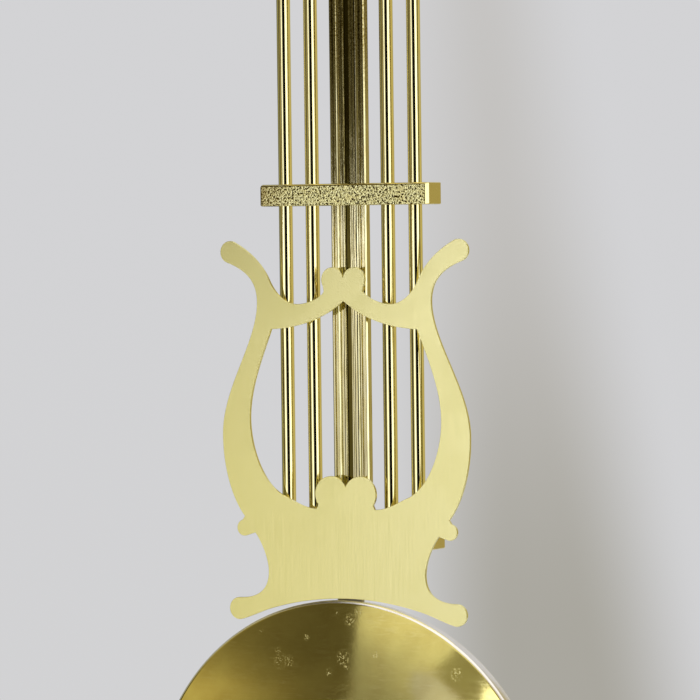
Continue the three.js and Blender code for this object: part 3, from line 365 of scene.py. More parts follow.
def metal_finish(name, bright, dull, roughness, stretch, relief, marks=60.0, centre=(0, 0, 0)):
    """Bare metal: two near colours, fine lines in its relief and shine, and marks of handling."""
    material = bpy.data.materials.new(name)
    material.use_nodes = True
    tree = material.node_tree
    coords = add_node(tree, "ShaderNodeTexCoord")
    place = add_node(
        tree, "ShaderNodeMapping", called="place", Vector=coords.outputs["Object"],
        Location=tuple(-value * MM for value in centre),
    ).outputs["Vector"]
    grain = add_node(
        tree, "ShaderNodeGroup", called="grain", group=grain_group, Vector=place, Stretch=stretch
    )
    handling = add_node(tree, "ShaderNodeGroup", group=marks_group, Vector=place, Size=marks)
    dulled = maths(tree, "MULTIPLY", handling.outputs["Smudge"], grain.outputs["Broad"])
    bump = add_node(
        tree, "ShaderNodeBump", Strength=1.0, Distance=relief * MM, Height=grain.outputs["Lines"]
    )
    fill(
        tree, tree.nodes["Principled BSDF"], Metallic=1.0, Base_Color=coloured(tree, dulled, bright, dull),
        Roughness=ramp(tree, dulled, 0, 1, *roughness), Normal=bump.outputs["Normal"],
    )
    return material


polished_brass = metal_finish(
    "polished brass", (0.84, 0.72, 0.34), (0.72, 0.58, 0.24), (0.10, 0.22), (900, 900, 900), 0.004
)
bright_steel = metal_finish(
    "bright steel", (0.62, 0.62, 0.63), (0.48, 0.48, 0.49), (0.22, 0.40), (1500, 1500, 90), 0.003
)


def mesh_of(name, shape):
    mesh = bpy.data.meshes.new(name)
    shape.to_mesh(mesh)
    shape.free()
    return mesh


def weld(mesh, reach):
    """Merges a mesh's doubled points and turns its faces outwards."""
    shape = bmesh.new()
    shape.from_mesh(mesh)
    bmesh.ops.remove_doubles(shape, verts=shape.verts, dist=reach)
    bmesh.ops.recalc_face_normals(shape, faces=shape.faces)
    shape.to_mesh(mesh)
    shape.free()


def finished(name, mesh, finish, body, stands_for=(), sharp=40):
    """A mesh in metres, welded and with its faces turned outwards, as a piece that rides on a body."""
    weld(mesh, 1e-6)
    if finish:
        mesh.materials.clear()
        mesh.materials.append(finish)
    mesh.shade_smooth()
    mesh.set_sharp_from_angle(angle=math.radians(sharp))
    obj = placed(name, mesh)
    if body:
        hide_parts(*stands_for)
        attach(obj, body)
    return obj


def joined(name, parts):
    """Several meshes as one."""
    whole = bmesh.new()
    for part in parts:
        whole.from_mesh(part)
    return mesh_of(name, whole)


def block(low, high, edge):
    """A block between two corners with its edges broken."""
    shape = bmesh.new()
    bmesh.ops.create_cube(shape, size=1)
    for vert in shape.verts:
        vert.co = [(low[i] + high[i]) / 2 + vert.co[i] * (high[i] - low[i]) for i in range(3)]
    if edge:
        bmesh.ops.bevel(shape, geom=shape.edges[:], offset=edge, segments=2, affect="EDGES", profile=0.5)
    bmesh.ops.scale(shape, vec=(MM, MM, MM), verts=shape.verts)
    return mesh_of("block", shape)


def turned(profile, axis, centre, steps=48):
    """A turned mesh. The profile's points are [radius, place along the axis], from end to end."""
    along = "XYZ".index(axis)
    others = [i for i in range(3) if i != along]
    points, faces, rings = [], [], []
    for radius, place in profile:
        ring = []
        for i in range(steps if radius > 1e-6 else 1):
            angle = math.tau * i / steps
            point = [0.0, 0.0, 0.0]
            point[along] = centre[along] + place
            point[others[0]] = centre[others[0]] + radius * math.cos(angle)
            point[others[1]] = centre[others[1]] + radius * math.sin(angle)
            ring.append(len(points))
            points.append([value * MM for value in point])
        rings.append(ring)
    closed = profile[0][0] > 1e-6 and profile[-1][0] > 1e-6
    pairs = list(zip(rings, rings[1:])) + ([(rings[-1], rings[0])] if closed else [])
    for first, second in pairs:
        for i in range(steps):
            j = (i + 1) % steps
            corners = ((first, i), (first, j), (second, j), (second, i))
            quad = [ring[at % len(ring)] for ring, at in corners]
            quad = [v for k, v in enumerate(quad) if v not in quad[:k]]
            if len(quad) > 2:
                faces.append(quad)
    mesh = bpy.data.meshes.new("turned")
    mesh.from_pydata(points, [], faces)
    return mesh


for foot, body, replaced in (
    (top_block_foot, "suspension", ("top_block_left", "top_block_right")),
    (foot_block_top - block_height, "spring_foot", ("foot_block_left", "foot_block_right")),
):
    for side, node in zip((-1, 1), replaced):
        near, far = sorted((side * cheek_gap, side * (cheek_gap + cheek_thickness)))
        low, high = (near, -block_width / 2, foot), (far, block_width / 2, foot + block_height)
        cheek = block(low, high, block_edge)
        finished(node + "_cheek", cheek, polished_brass, body, (node,))

for name, z, length, body in (
    ("suspension_pin", 0, suspension_pin_length, "suspension"),
    ("cross_pin", cross_pin_z, cross_pin_length, "spring_foot"),
):
    half, pin_r = length / 2, pin_d / 2
    profile = [(0, -half), (pin_r - pin_bevel, -half), (pin_r, -half + pin_bevel), (pin_r, half - pin_bevel),
               (pin_r - pin_bevel, half), (0, half)]
    finished(name + "_steel", turned(profile, "X", (0, 0, z)), bright_steel, body, (name,))

# Rivets hold the blocks, the hook, the fork and the guides. Each is a soft wire whose two ends are
# closed into low domes. They are all made by one set of nodes from their own sizes.
leaf_middle = 2.5
block_rivet_inset, block_rivet_head, block_rivet_rise, block_rivet_shank = 1.5, 2.2, 0.5, 1.2


def node_tool(name, sizes):
    """A geometry node tree that starts from a mesh of points and has named inputs for its sizes."""
    kinds = {float: "Float", int: "Int"}
    inputs = [(label, kinds[type(value)], value) for label, value in sizes.items()]
    return tree_of_nodes(
        "GeometryNodeTree", name, [("Geometry", "Geometry", None), *inputs, ("Material", "Material", None)],
        [("Geometry", "Geometry")],
    )


def vector_of(tree, x, y, z):
    return add_node(tree, "ShaderNodeCombineXYZ", X=x, Y=y, Z=z).outputs[0]


def lifted(tree, geometry, height, **turns):
    """Moves geometry up by a height."""
    lift = vector_of(tree, 0, 0, height)
    return add_node(tree, "GeometryNodeTransform", Geometry=geometry, Translation=lift, **turns).outputs[0]


def gathered(tree, parts):
    return add_node(tree, "GeometryNodeJoinGeometry", Geometry=parts).outputs[0]


def set_out(tree, entry, leaving, shape):
    """Puts the shape on each point, makes it real and gives it its material."""
    spread = add_node(tree, "GeometryNodeInstanceOnPoints", Points=entry["Geometry"], Instance=shape)
    real = add_node(tree, "GeometryNodeRealizeInstances", Geometry=spread.outputs["Instances"])
    coated = add_node(tree, "GeometryNodeSetMaterial", Geometry=real.outputs[0], Material=entry["Material"])
    fill(tree, leaving, Geometry=coated.outputs[0])


def settled(obj):
    """The plain mesh that an object's curve or modifiers make. The object is taken away."""
    mesh = bpy.data.meshes.new_from_object(obj.evaluated_get(bpy.context.evaluated_depsgraph_get()))
    bpy.data.objects.remove(obj)
    return mesh


def grown(name, tree, points, axis, finish, body=None, stands_for=(), slot=None, **sizes):
    """Runs a node tree on points and keeps the result as a plain mesh, or as a piece if it has a body.
    The tree works along Z, and its result is turned so that this points along the axis."""
    turn = {"X": Matrix.Rotation(math.radians(90), 4, "Y"), "Y": Matrix.Rotation(math.radians(-90), 4, "X"),
            "Z": Matrix.Identity(4)}[axis]
    seeds = bpy.data.meshes.new(name + "_points")
    seeds.from_pydata([turn.inverted() @ (Vector(point) * MM) for point in points], [], [])
    holder = placed(name + "_points", seeds)
    nodes = holder.modifiers.new("nodes", "NODES")
    nodes.node_group = tree
    values = {"Material": finish, **sizes}
    for item in tree.interface.items_tree:
        if item.name.replace(" ", "_") in values:
            value = values[item.name.replace(" ", "_")]
            nodes[item.identifier] = value * MM if item.socket_type == "NodeSocketFloat" else value
    mesh = settled(holder)
    mesh.transform(turn)
    mesh.name = name
    if body is None:
        return mesh
    return finished(name, mesh, finish, body, stands_for)


rivet_tree, rivet_in, rivet_end = node_tool(
    "rivets", {"Head diameter": 0.002, "Head height": 0.0005, "Shank diameter": 0.001, "Grip": 0.003}
)
rivet_dome = add_node(rivet_tree, "GeometryNodeMeshUVSphere", Segments=28, Rings=14, Radius=1.0)
rivet_head_r = maths(rivet_tree, "MULTIPLY", rivet_in["Head diameter"], 0.5)
rivet_size = vector_of(rivet_tree, rivet_head_r, rivet_head_r, rivet_in["Head height"])
rivet_parts = []
for end in (0.0, 1.0):
    height = maths(rivet_tree, "MULTIPLY", rivet_in["Grip"], end)
    rivet_parts.append(lifted(rivet_tree, rivet_dome.outputs[0], height, Scale=rivet_size))
rivet_shank = add_node(
    rivet_tree, "GeometryNodeMeshCylinder", Vertices=20, Depth=rivet_in["Grip"],
    Radius=maths(rivet_tree, "MULTIPLY", rivet_in["Shank diameter"], 0.5),
)
rivet_middle = maths(rivet_tree, "MULTIPLY", rivet_in["Grip"], 0.5)
rivet_parts.append(lifted(rivet_tree, rivet_shank.outputs[0], rivet_middle))
set_out(rivet_tree, rivet_in, rivet_end, gathered(rivet_tree, rivet_parts))

blocks_outside = cheek_gap + cheek_thickness
for name, z, body, replaced in (
    ("top_rivets", top_block_foot + block_rivet_inset, "suspension", ("top_rivet_front", "top_rivet_rear")),
    ("foot_rivets", foot_block_top - block_rivet_inset, "spring_foot",
     ("foot_rivet_front", "foot_rivet_rear")),
):
    grown(
        name, rivet_tree, [(-blocks_outside, -leaf_middle, z), (-blocks_outside, leaf_middle, z)], "X",
        polished_brass, body, replaced, "polished_brass", Head_diameter=block_rivet_head,
        Head_height=block_rivet_rise, Shank_diameter=block_rivet_shank, Grip=blocks_outside * 2,
    )

# The suspension spring: two thin blue-grey steel leaves that bend as the pendulum swings. The section
# is in shares of a leaf's thickness and width.
leaf_thickness, leaf_width, leaf_grip, leaf_steps = 0.2, 2.8, 2.9, 24
leaf_top, leaf_foot = top_block_foot + leaf_grip, foot_block_top - leaf_grip
leaf_section = [(-0.5, -0.46), (-0.5, 0.46), (-0.3, 0.5), (0.3, 0.5), (0.5, 0.46), (0.5, -0.46), (0.3, -0.5),
                (-0.3, -0.5)]
spring_steel = metal_finish(
    "rolled spring steel", (0.46, 0.48, 0.52), (0.34, 0.36, 0.40), (0.16, 0.32), (2600, 2600, 60), 0.002
)
for name, y in (("spring_leaf_front", -leaf_middle), ("spring_leaf_rear", leaf_middle)):
    points, faces = [], []
    count = len(leaf_section)
    for i in range(leaf_steps + 1):
        z = leaf_foot + (leaf_top - leaf_foot) * i / leaf_steps
        points += [(x * leaf_thickness * MM, (y + w * leaf_width) * MM, z * MM) for x, w in leaf_section]
    for i in range(leaf_steps):
        for k in range(count):
            n = (k + 1) % count
            faces.append((i * count + k, i * count + n, (i + 1) * count + n, (i + 1) * count + k))
    faces += [tuple(range(count))[::-1], tuple(leaf_steps * count + k for k in range(count))]
    leaf_mesh = bpy.data.meshes.new(name)
    leaf_mesh.from_pydata(points, [], faces)
    leaf = finished(name + "_steel", leaf_mesh, spring_steel, None, sharp=50)
    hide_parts(name)
    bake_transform(leaf)

# The hook straddles the foot block with two cheeks whose slots drop over the cross pin. Its web and
# tang are one brass piece with them, and two rivets fix the tang to the reeded bar.
hook_inside, hook_cheek, hook_width, hook_edge = 3, 1.5, 9, 0.2
web_top, web_foot, web_thickness, tang_thickness, tang_length, tang_width = -6.25, -9, 3, 1.5, 13.5, 8
rods_y, bar_thickness = 4.65, 2.5
tang_back = rods_y - bar_thickness / 2
tang_front = tang_back - tang_thickness
hook_seat, hook_slot, cutter_past = pin_d / 2 + 0.2, 2.5, 1


def plate(outline, holes, low, high, edge, axis="Y"):
    """A flat outline with holes, made solid from low to high along an axis, with its edges broken.
    The outline is in X and Z for a plate along Y, Y and Z along X, and X and Y along Z."""
    curve = bpy.data.curves.new("outline", "CURVE")
    curve.dimensions = "2D"
    curve.fill_mode = "BOTH"
    curve.extrude = (high - low) / 2 - edge
    curve.bevel_depth = edge
    curve.bevel_resolution = 1
    curve.offset = -edge
    for loop in (outline, *holes):
        spline = curve.splines.new("POLY")
        spline.points.add(len(loop) - 1)
        for point, (u, v) in zip(spline.points, loop):
            point.co = (u, v, 0, 1)
        spline.use_cyclic_u = True
    mesh = settled(placed("outline", curve))
    middle = (low + high) / 2
    for vert in mesh.vertices:
        u, v, w = vert.co
        places = {"Y": (u, middle + w, v), "X": (middle + w, u, v), "Z": (u, v, middle + w)}
        vert.co = Vector(places[axis]) * MM
    return mesh


def carved(mesh, others, how="DIFFERENCE"):
    """A mesh with other meshes taken out of it, or with them made one body with it."""
    body, tool = placed("body", mesh), placed("tool", joined("tool", others))
    for obj in (body, tool):
        weld(obj.data, 1e-7)
    cut = body.modifiers.new("cut", "BOOLEAN")
    cut.operation = how
    cut.solver = "EXACT"
    cut.object = tool
    result = settled(body)
    bpy.data.objects.remove(tool)
    return result


def arc(centre, radius, start, end, steps):
    """Points on an arc, with its angles in degrees."""
    turns = [math.radians(start + (end - start) * i / steps) for i in range(steps + 1)]
    return [(centre[0] + radius * math.cos(turn), centre[1] + radius * math.sin(turn)) for turn in turns]


cheek_outline = arc((0, cross_pin_z), hook_width / 2, 0, 180, 32)
cheek_outline += [(-hook_width / 2, cross_pin_z + web_foot), (hook_width / 2, cross_pin_z + web_foot)]
slot_middle = cross_pin_z - hook_slot
hook_parts = []
for side in (-1, 1):
    near, far = sorted((side * hook_inside, side * (hook_inside + hook_cheek)))
    start, stop = near - cutter_past, far + cutter_past
    seat_profile = [(0, start), (hook_seat, start), (hook_seat, stop), (0, stop)]
    cheek = plate(cheek_outline, [], near, far, hook_edge, "X")
    for cutter in (
        turned(seat_profile, "X", (0, 0, cross_pin_z)),
        block((start, -hook_seat, slot_middle - hook_seat), (stop, hook_seat, cross_pin_z), 0),
        block((start, 0, slot_middle - hook_seat), (stop, hook_width, slot_middle + hook_seat), 0),
    ):
        cheek = carved(cheek, [cutter])
    hook_parts.append(cheek)
for half, foot, front in (
    (hook_inside + hook_cheek, web_foot, tang_back - web_thickness),
    (tang_width / 2, web_foot - tang_length, tang_front),
):
    low, high = (-half, front, cross_pin_z + foot), (half, tang_back, cross_pin_z + web_top)
    hook_parts.append(block(low, high, hook_edge))
hook_mesh = hook_parts[0]
for part in hook_parts[1:]:
    hook_mesh = carved(hook_mesh, [part], "UNION")
finished("hook", hook_mesh, polished_brass, "pendulum", ("pendulum_hook",))
hook_rivets_z, hook_rivets_apart = cross_pin_z + web_foot - tang_length / 2 - 1, 6
hook_rivet_zs = [hook_rivets_z + side * hook_rivets_apart / 2 for side in (1, -1)]
grown(
    "hook_rivets", rivet_tree, [(0, tang_front, z) for z in hook_rivet_zs], "Y", polished_brass,
    "pendulum", ("hook_rivet_upper", "hook_rivet_lower"), "polished_brass",
    Head_diameter=3.6, Head_height=0.8, Shank_diameter=2.0, Grip=tang_thickness + bar_thickness,
)

# Four round rods of drawn brass, polished and lacquered. They stand in sockets in the top and lower
# crossbars and run through the middle one.
middle_bar_z, crossbar_spacing = -140.875, 97.5
top_bar_z, lower_bar_z = middle_bar_z + crossbar_spacing, middle_bar_z - crossbar_spacing
crossbar_width, crossbar_depth, crossbar_height = 54.25, 8.25, 6.25
rod_d, rod_xs, rod_socket = 4, (-21, -12.25, 12.25, 21), 4.5
rod_length = crossbar_spacing * 2 - crossbar_height + rod_socket * 2
rod_brass = metal_finish(
    "drawn brass", (0.86, 0.77, 0.40), (0.78, 0.66, 0.30), (0.03, 0.09), (1500, 1500, 900), 0.003, 110
)
rod_tree, rod_in, rod_end = node_tool("rods", {"Diameter": 0.004, "Length": 0.2})
rod_shape = add_node(
    rod_tree, "GeometryNodeMeshCylinder", Vertices=96, Side_Segments=12, Depth=rod_in["Length"],
    Radius=maths(rod_tree, "MULTIPLY", rod_in["Diameter"], 0.5),
)
set_out(rod_tree, rod_in, rod_end, rod_shape.outputs[0])
grown(
    "round_rods", rod_tree, [(x, rods_y, middle_bar_z) for x in rod_xs], "Z", rod_brass, "pendulum",
    ("rod_outer_left", "rod_inner_left", "rod_inner_right", "rod_outer_right"), "polished_brass",
    Diameter=rod_d, Length=rod_length,
)

# The reeded bar between the inner rods is drawn flat brass. A deep groove runs down its middle, with
# a shallow flute, a narrow groove and a rib on each side of it.
bar_width, bar_top = 11.5, middle_bar_z + crossbar_spacing + crossbar_height / 2 + 13
bar_foot = lower_bar_z - crossbar_height / 2 + 0.5
bar_front, bar_back = rods_y - bar_thickness / 2, rods_y + bar_thickness / 2
reeded_brass = metal_finish(
    "reeded brass", (0.82, 0.75, 0.42), (0.74, 0.64, 0.31), (0.05, 0.12), (3200, 3200, 90), 0.005, 120
)


def stained(material, share, colour):
    """Lays a colour over what a finish already has, as far as the share says."""
    tree, surface = material.node_tree, material.node_tree.nodes["Principled BSDF"]
    under = surface.inputs["Base Color"].links[0].from_socket
    fill(tree, surface, Base_Color=coloured(tree, share, under, colour))


def shaded_hollows(material, full, none, colour):
    """Darkens the hollows of a finish with a colour, as painted shade. Full and none are levels of its fine
    lines.
    """
    tree = material.node_tree
    stained(material, ramp(tree, tree.nodes["grain"].outputs["Lines"], none, full), colour)


# The hollows of the reeded lines are painted darker, as painted shade. Above the middle crossbar
# the bar is painted dark brown, a painted dark reflection, more so towards its top, and finely mottled.
shaded_hollows(reeded_brass, 0.36, 0.52, (0.56, 0.48, 0.22))
bar_tree = reeded_brass.node_tree
bar_vector = bar_tree.nodes["place"].outputs["Vector"]
bar_place = add_node(bar_tree, "ShaderNodeSeparateXYZ", i0=bar_vector).outputs
bar_height = ramp(bar_tree, bar_place["Z"], (middle_bar_z + 19) * MM, (middle_bar_z + 44) * MM, 0.28)
bar_above = maths(bar_tree, "GREATER_THAN", bar_place["Z"], middle_bar_z * MM)
bar_pits = ramp(bar_tree, noise(bar_tree, bar_vector, 1700, 2), 0.40, 0.62, 0.55)
bar_dark_reflection = maths(bar_tree, "MULTIPLY", maths(bar_tree, "MULTIPLY", bar_height, bar_above), bar_pits)
stained(reeded_brass, bar_dark_reflection, (0.22, 0.165, 0.045))
# The middle groove of the front is painted dark, as painted shade in the groove.
bar_sides = [
    ramp(bar_tree, bar_place["X"], outside * MM, inside * MM)
    for outside, inside in ((-1.12, -0.96), (0.52, 0.34))
]
bar_before = maths(bar_tree, "LESS_THAN", bar_place["Y"], rods_y * MM)
bar_groove_shade = maths(bar_tree, "MULTIPLY", maths(bar_tree, "MULTIPLY", *bar_sides), bar_before)
stained(reeded_brass, bar_groove_shade, (0.085, 0.066, 0.012))
# The front of the bar's right half, [from the middle, depth].
bar_half = [
    (0, 0.55), (0.75, 0.55), (0.92, 0.48), (1.02, 0.2), (1.12, 0.04), (1.25, 0.0), (1.6, 0.0),
    (1.75, 0.05), (1.85, 0.0), (2.45, 0.0), (2.6, 0.05), (2.72, 0.14), (2.9, 0.16), (3.2, 0.16),
    (3.38, 0.14), (3.48, 0.05), (3.58, 0.0), (3.88, 0.0), (3.98, 0.05), (4.06, 0.3), (4.16, 0.36),
    (4.52, 0.36), (4.62, 0.3), (4.7, 0.05), (4.8, 0.0), (5.2, 0.0), (5.34, 0.05), (5.7, 0.4), (5.75, 0.5),
]
bar_bevel = 0.15
bar_edge = [(x, bar_front + depth) for x, depth in bar_half]
bar_edge += [(bar_width / 2, bar_back - bar_bevel), (bar_width / 2 - bar_bevel, bar_back)]
bar_outline = bar_edge + [(-x, y) for x, y in reversed(bar_edge[1:])]
finished(
    "reeded_bar", plate(bar_outline, [], bar_foot, bar_top, 0.0, "Z"), reeded_brass, "pendulum",
    ("centre_bar",), sharp=8,
)

# Three crossbars, cast square and filed. The front face is stippled with a punch inside a smooth
# chamfered border, and the rods and the bar pass through.
crossbar_chamfer, set_screw_d, set_screw_length, set_screw_recess = 0.76, 2.5, 1.4, 0.2
set_hole_r, set_hole_start, set_hole_end = set_screw_d / 2 + 0.08, 2.5, 6
crossbar_front, crossbar_back = rods_y - crossbar_depth / 2, rods_y + crossbar_depth / 2
smooth_brass = metal_finish(
    "filed brass", (0.84, 0.73, 0.34), (0.72, 0.58, 0.24), (0.12, 0.26), (1800, 1800, 1800), 0.003, 110
)
stippled_brass = metal_finish(
    "stippled brass", (1.0, 0.94, 0.51), (1.0, 0.86, 0.38), (0.10, 0.20), (1620, 1620, 1620), 0.28, 300
)
# The dark line round the stippled face, just inside its border, is painted shade.
shade_line_brass = metal_finish(
    "tarnished brass", (0.13, 0.095, 0.02), (0.06, 0.045, 0.01), (0.30, 0.5), (2600, 2600, 2600), 0.05, 300
)
# The stipple's hollows are painted nearly black, as painted shade.
shaded_hollows(stippled_brass, 0.43, 0.465, (0.05, 0.028, 0.001))
# The stipple is browner towards its left end.
end_tree = stippled_brass.node_tree
end_place = add_node(end_tree, "ShaderNodeSeparateXYZ", i0=end_tree.nodes["place"].outputs["Vector"])
end_reach = ramp(end_tree, end_place.outputs["X"], -17 * MM, -26 * MM)
end_share = maths(end_tree, "MULTIPLY", end_reach, end_tree.nodes["grain"].outputs["Broad"])
stained(stippled_brass, end_share, (0.30, 0.19, 0.04))


def rounded(left, right, foot, top, radii, y, steps=5):
    """A ring of points round a rectangle with round corners, the radius of the two left ones first."""
    points = []
    for x, z, radius, start in (
        (left, foot, radii[0], 180), (right, foot, radii[1], 270), (right, top, radii[1], 0),
        (left, top, radii[0], 90),
    ):
        centre = (x + (radius if x == left else -radius), z + (radius if z == foot else -radius))
        points += [(px, y, pz) for px, pz in arc(centre, radius, start, start + 90, steps)]
    return points


def crossbar(name, z, screw_xs):
    half, tall = crossbar_width / 2, crossbar_height / 2
    # From the front: the stippled face, its dark border of painted shade, the chamfer and the back's
    # broken edge, each set in from the left, right, foot and top.
    rings = [
        rounded(-half + left, half - right, z - tall + foot, z + tall - top, radii, y)
        for left, right, foot, top, radii, y in (
            (0.50, 1.06, 0.16, 0.62, (0.40, 0.08), crossbar_front),
            (0.16, 0.88, 0.10, 0.37, (0.50, 0.10), crossbar_front),
            (0.12, 0.84, 0.06, 0.33, (0.50, 0.12), crossbar_front + 0.03),
            (0, 0, 0, 0, (0.60, 0.35), crossbar_front + crossbar_chamfer),
            (0, 0, 0, 0, (0.60, 0.35), crossbar_back - 0.25),
            (0.25, 0.25, 0.25, 0.25, (0.45, 0.25), crossbar_back),
        )
    ]
    shape = bmesh.new()
    verts = [[shape.verts.new(point) for point in ring] for ring in rings]
    shape.faces.new(verts[0]).material_index = 1
    shape.faces.new(verts[-1][::-1])
    for k, (inner, outer) in enumerate(zip(verts, verts[1:])):
        for i in range(len(inner)):
            j = (i + 1) % len(inner)
            face = shape.faces.new((inner[i], inner[j], outer[j], outer[i]))
            face.material_index = 2 if k == 0 else 0
    bmesh.ops.scale(shape, vec=(MM, MM, MM), verts=shape.verts)
    mesh = mesh_of(name, shape)
    for finish in (smooth_brass, stippled_brass, shade_line_brass):
        mesh.materials.append(finish)
    hole = [(0, set_hole_start), (set_hole_r, set_hole_start), (set_hole_r, set_hole_end), (0, set_hole_end)]
    for x in screw_xs:
        mesh = carved(mesh, [turned(hole, "Y", (x, rods_y, z))])
    finished(name + "_brass", mesh, None, "pendulum", (name,), sharp=35)


crossbar("crossbar_top", top_bar_z, rod_xs)
crossbar("crossbar_middle", middle_bar_z, (rod_xs[0], rod_xs[3]))
crossbar("crossbar_lower", lower_bar_z, rod_xs)

# Set screws lock the rods from behind. They are headless, slotted, and sit just below the face. The
# other screws are made by the same nodes, and have a head.
screw_tree, screw_in, screw_end = node_tool(
    "slotted screws",
    {"Head diameter": 0.0038, "Head height": 0.0014, "Chamfer": 0.0002, "Shank diameter": 0.002,
     "Shank length": 0.004, "Slot width": 0.0006, "Slot depth": 0.0006},
)
screw_r = maths(screw_tree, "MULTIPLY", screw_in["Head diameter"], 0.5)
screw_top_r = maths(screw_tree, "SUBTRACT", screw_r, screw_in["Chamfer"])
screw_waist = maths(screw_tree, "SUBTRACT", screw_in["Head height"], screw_in["Chamfer"])
screw_barrel, screw_crown = [
    add_node(
        screw_tree, "GeometryNodeMeshCone", Vertices=40, Radius_Top=top_r, Radius_Bottom=screw_r, Depth=depth
    ).outputs["Mesh"]
    for top_r, depth in ((screw_r, screw_waist), (screw_top_r, screw_in["Chamfer"]))
]
screw_head = add_node(
    screw_tree, "GeometryNodeMeshBoolean", "UNION",
    Mesh_2=[screw_barrel, lifted(screw_tree, screw_crown, screw_waist)],
)
screw_slot_length = maths(screw_tree, "MULTIPLY", screw_in["Head diameter"], 1.5)
screw_slot_height = maths(screw_tree, "MULTIPLY", screw_in["Slot depth"], 2.0)
screw_slot = add_node(
    screw_tree, "GeometryNodeMeshCube",
    Size=vector_of(screw_tree, screw_slot_length, screw_in["Slot width"], screw_slot_height),
)
screw_cut = add_node(
    screw_tree, "GeometryNodeMeshBoolean", "DIFFERENCE", Mesh_1=screw_head.outputs["Mesh"],
    Mesh_2=lifted(screw_tree, screw_slot.outputs["Mesh"], screw_in["Head height"]),
)
screw_shank = add_node(
    screw_tree, "GeometryNodeMeshCylinder", Vertices=24, Depth=screw_in["Shank length"],
    Radius=maths(screw_tree, "MULTIPLY", screw_in["Shank diameter"], 0.5),
)
screw_drop = maths(screw_tree, "MULTIPLY", screw_in["Shank length"], -0.5)
screw_stem = lifted(screw_tree, screw_shank.outputs[0], screw_drop)
set_out(screw_tree, screw_in, screw_end, gathered(screw_tree, [screw_cut.outputs["Mesh"], screw_stem]))

sides = ("outer_left", "inner_left", "inner_right", "outer_right")
for prefix, z, chosen in (
    ("top", top_bar_z, (0, 1, 2, 3)), ("middle", middle_bar_z, (0, 3)), ("lower", lower_bar_z, (0, 1, 2, 3)),
):
    grown(
        prefix + "_set_screws", screw_tree,
        [(rod_xs[i], crossbar_back - set_screw_recess - set_screw_length, z) for i in chosen], "Y",
        bright_steel, "pendulum", tuple(f"{prefix}_set_screw_{sides[i]}" for i in chosen), "steel",
        Head_diameter=set_screw_d, Head_height=set_screw_length, Chamfer=0.15, Shank_length=0.3,
    )

# The lyre is pierced from 0.8 mm sheet brass, brushed up and down and lacquered. Its outline is a set
# of curves through the points that a pattern maker would mark, [from the middle, below the crossbar].
lyre_thickness, lyre_edge = 0.8, 0.09
lyre_back = crossbar_front
lyre_front = lyre_back - lyre_thickness


def sweep(path, to, leave, arrive, steps=22):
    """A cubic curve on from the path's end. Each pull is the share of the curve's own width and
    height by which its handle stands off from that end."""
    x0, z0 = path[-1]
    x1, z1 = to[0], -to[1]
    dx, dz = x1 - x0, z1 - z0
    xa, za, xb, zb = x0 + dx * leave[0], z0 + dz * leave[1], x1 - dx * arrive[0], z1 - dz * arrive[1]
    for i in range(1, steps + 1):
        t = i / steps
        a, b, c, d = (1 - t) ** 3, 3 * t * (1 - t) ** 2, 3 * t * t * (1 - t), t ** 3
        path.append((a * x0 + b * xa + c * xb + d * x1, a * z0 + b * za + c * zb + d * z1))


def lobe(path, centre, radius, start, end, steps=22):
    """A round lobe on from the path's end, with its angles in degrees."""
    for point in arc((centre[0], -centre[1]), radius, start, end, steps):
        if math.dist(point, path[-1]) > 0.02:
            path.append(point)


heart, heart_r = (3.5, 24.2), 3.55
heart_angle = math.degrees(math.acos(-heart[0] / heart_r))
edge_path = [(0, -heart[1] + heart_r * math.sin(math.radians(heart_angle)))]
lobe(edge_path, heart, heart_r, heart_angle, -32)
edge_path.append((6.3, -27.5))
sweep(edge_path, (15, 31.1), (0.05, 0.4), (0.43, 0))
sweep(edge_path, (24.2, 24), (0.54, 0), (0.13, 0.38))
horn, horn_r, horn_start = (36.9, 16.1), 3.2, 125
horn_turn = math.radians(horn_start)
sweep(edge_path, (horn[0] + horn_r * math.cos(horn_turn), horn[1] - horn_r * math.sin(horn_turn)),
      (0.2, 0.43), (0.41, 0.22))
lobe(edge_path, horn, horn_r, horn_start, -70)
sweep(edge_path, (28.2, 30.5), (0.58, 0.18), (0, 0.57))
sweep(edge_path, (40, 69.5), (0, 0.3), (-0.05, 0.35), 30)
sweep(edge_path, (33.1, 92.1), (0, 0.34), (0.67, 0.25), 26)
knob, knob_r = (33.25, 95.45), 2.35
lobe(edge_path, knob, knob_r, 76, -112)
edge_path.append((29.7, -96.8))
sweep(edge_path, (25.4, 107.8), (0.28, 0.12), (0, 0.4))
foot, foot_r = (35.2, 118.75), 3.2
sweep(edge_path, (foot[0] - foot_r * 0.09, foot[1] - foot_r), (0, 0.7), (0.63, 0))
lobe(edge_path, foot, foot_r, 90, -105)
arch_crown, arch_r, arch_end = 115.1, 91.4, 24
arch_centre = arch_crown + arch_r
arch_side = arch_centre - math.sqrt(arch_r ** 2 - arch_end ** 2)
sweep(edge_path, (arch_end, arch_side), (0.33, 0.26), (0.33, 0.26))
lobe(edge_path, (0, arch_centre), arch_r, math.degrees(math.acos(arch_end / arch_r)), 90, 26)

window_path = [(0, -30.3)]
sweep(window_path, (23.6, 38.3), (0.29, 0.675), (0.36, 0.04), 30)
sweep(window_path, (30.9, 64), (0.45, 0.33), (0, 0.34), 30)
sweep(window_path, (20.5, 85.8), (0, 0.37), (0.65, 0.16), 26)
sweep(window_path, (9.4, 89.5), (0.31, 0.35), (0.4, 0))
low_lobe, low_lobe_r = (4.7, 85.3), 5.15
lobe(window_path, low_lobe, low_lobe_r, -36, math.degrees(math.acos(-low_lobe[0] / low_lobe_r)))


def both_sides(half):
    """A whole outline from its right half, set below the middle crossbar."""
    half = [(0, half[0][1]), *half[1:-1], (0, half[-1][1])]
    whole = half + [(-x, z) for x, z in reversed(half[1:-1])]
    return [(x, z + middle_bar_z) for x, z in whole]


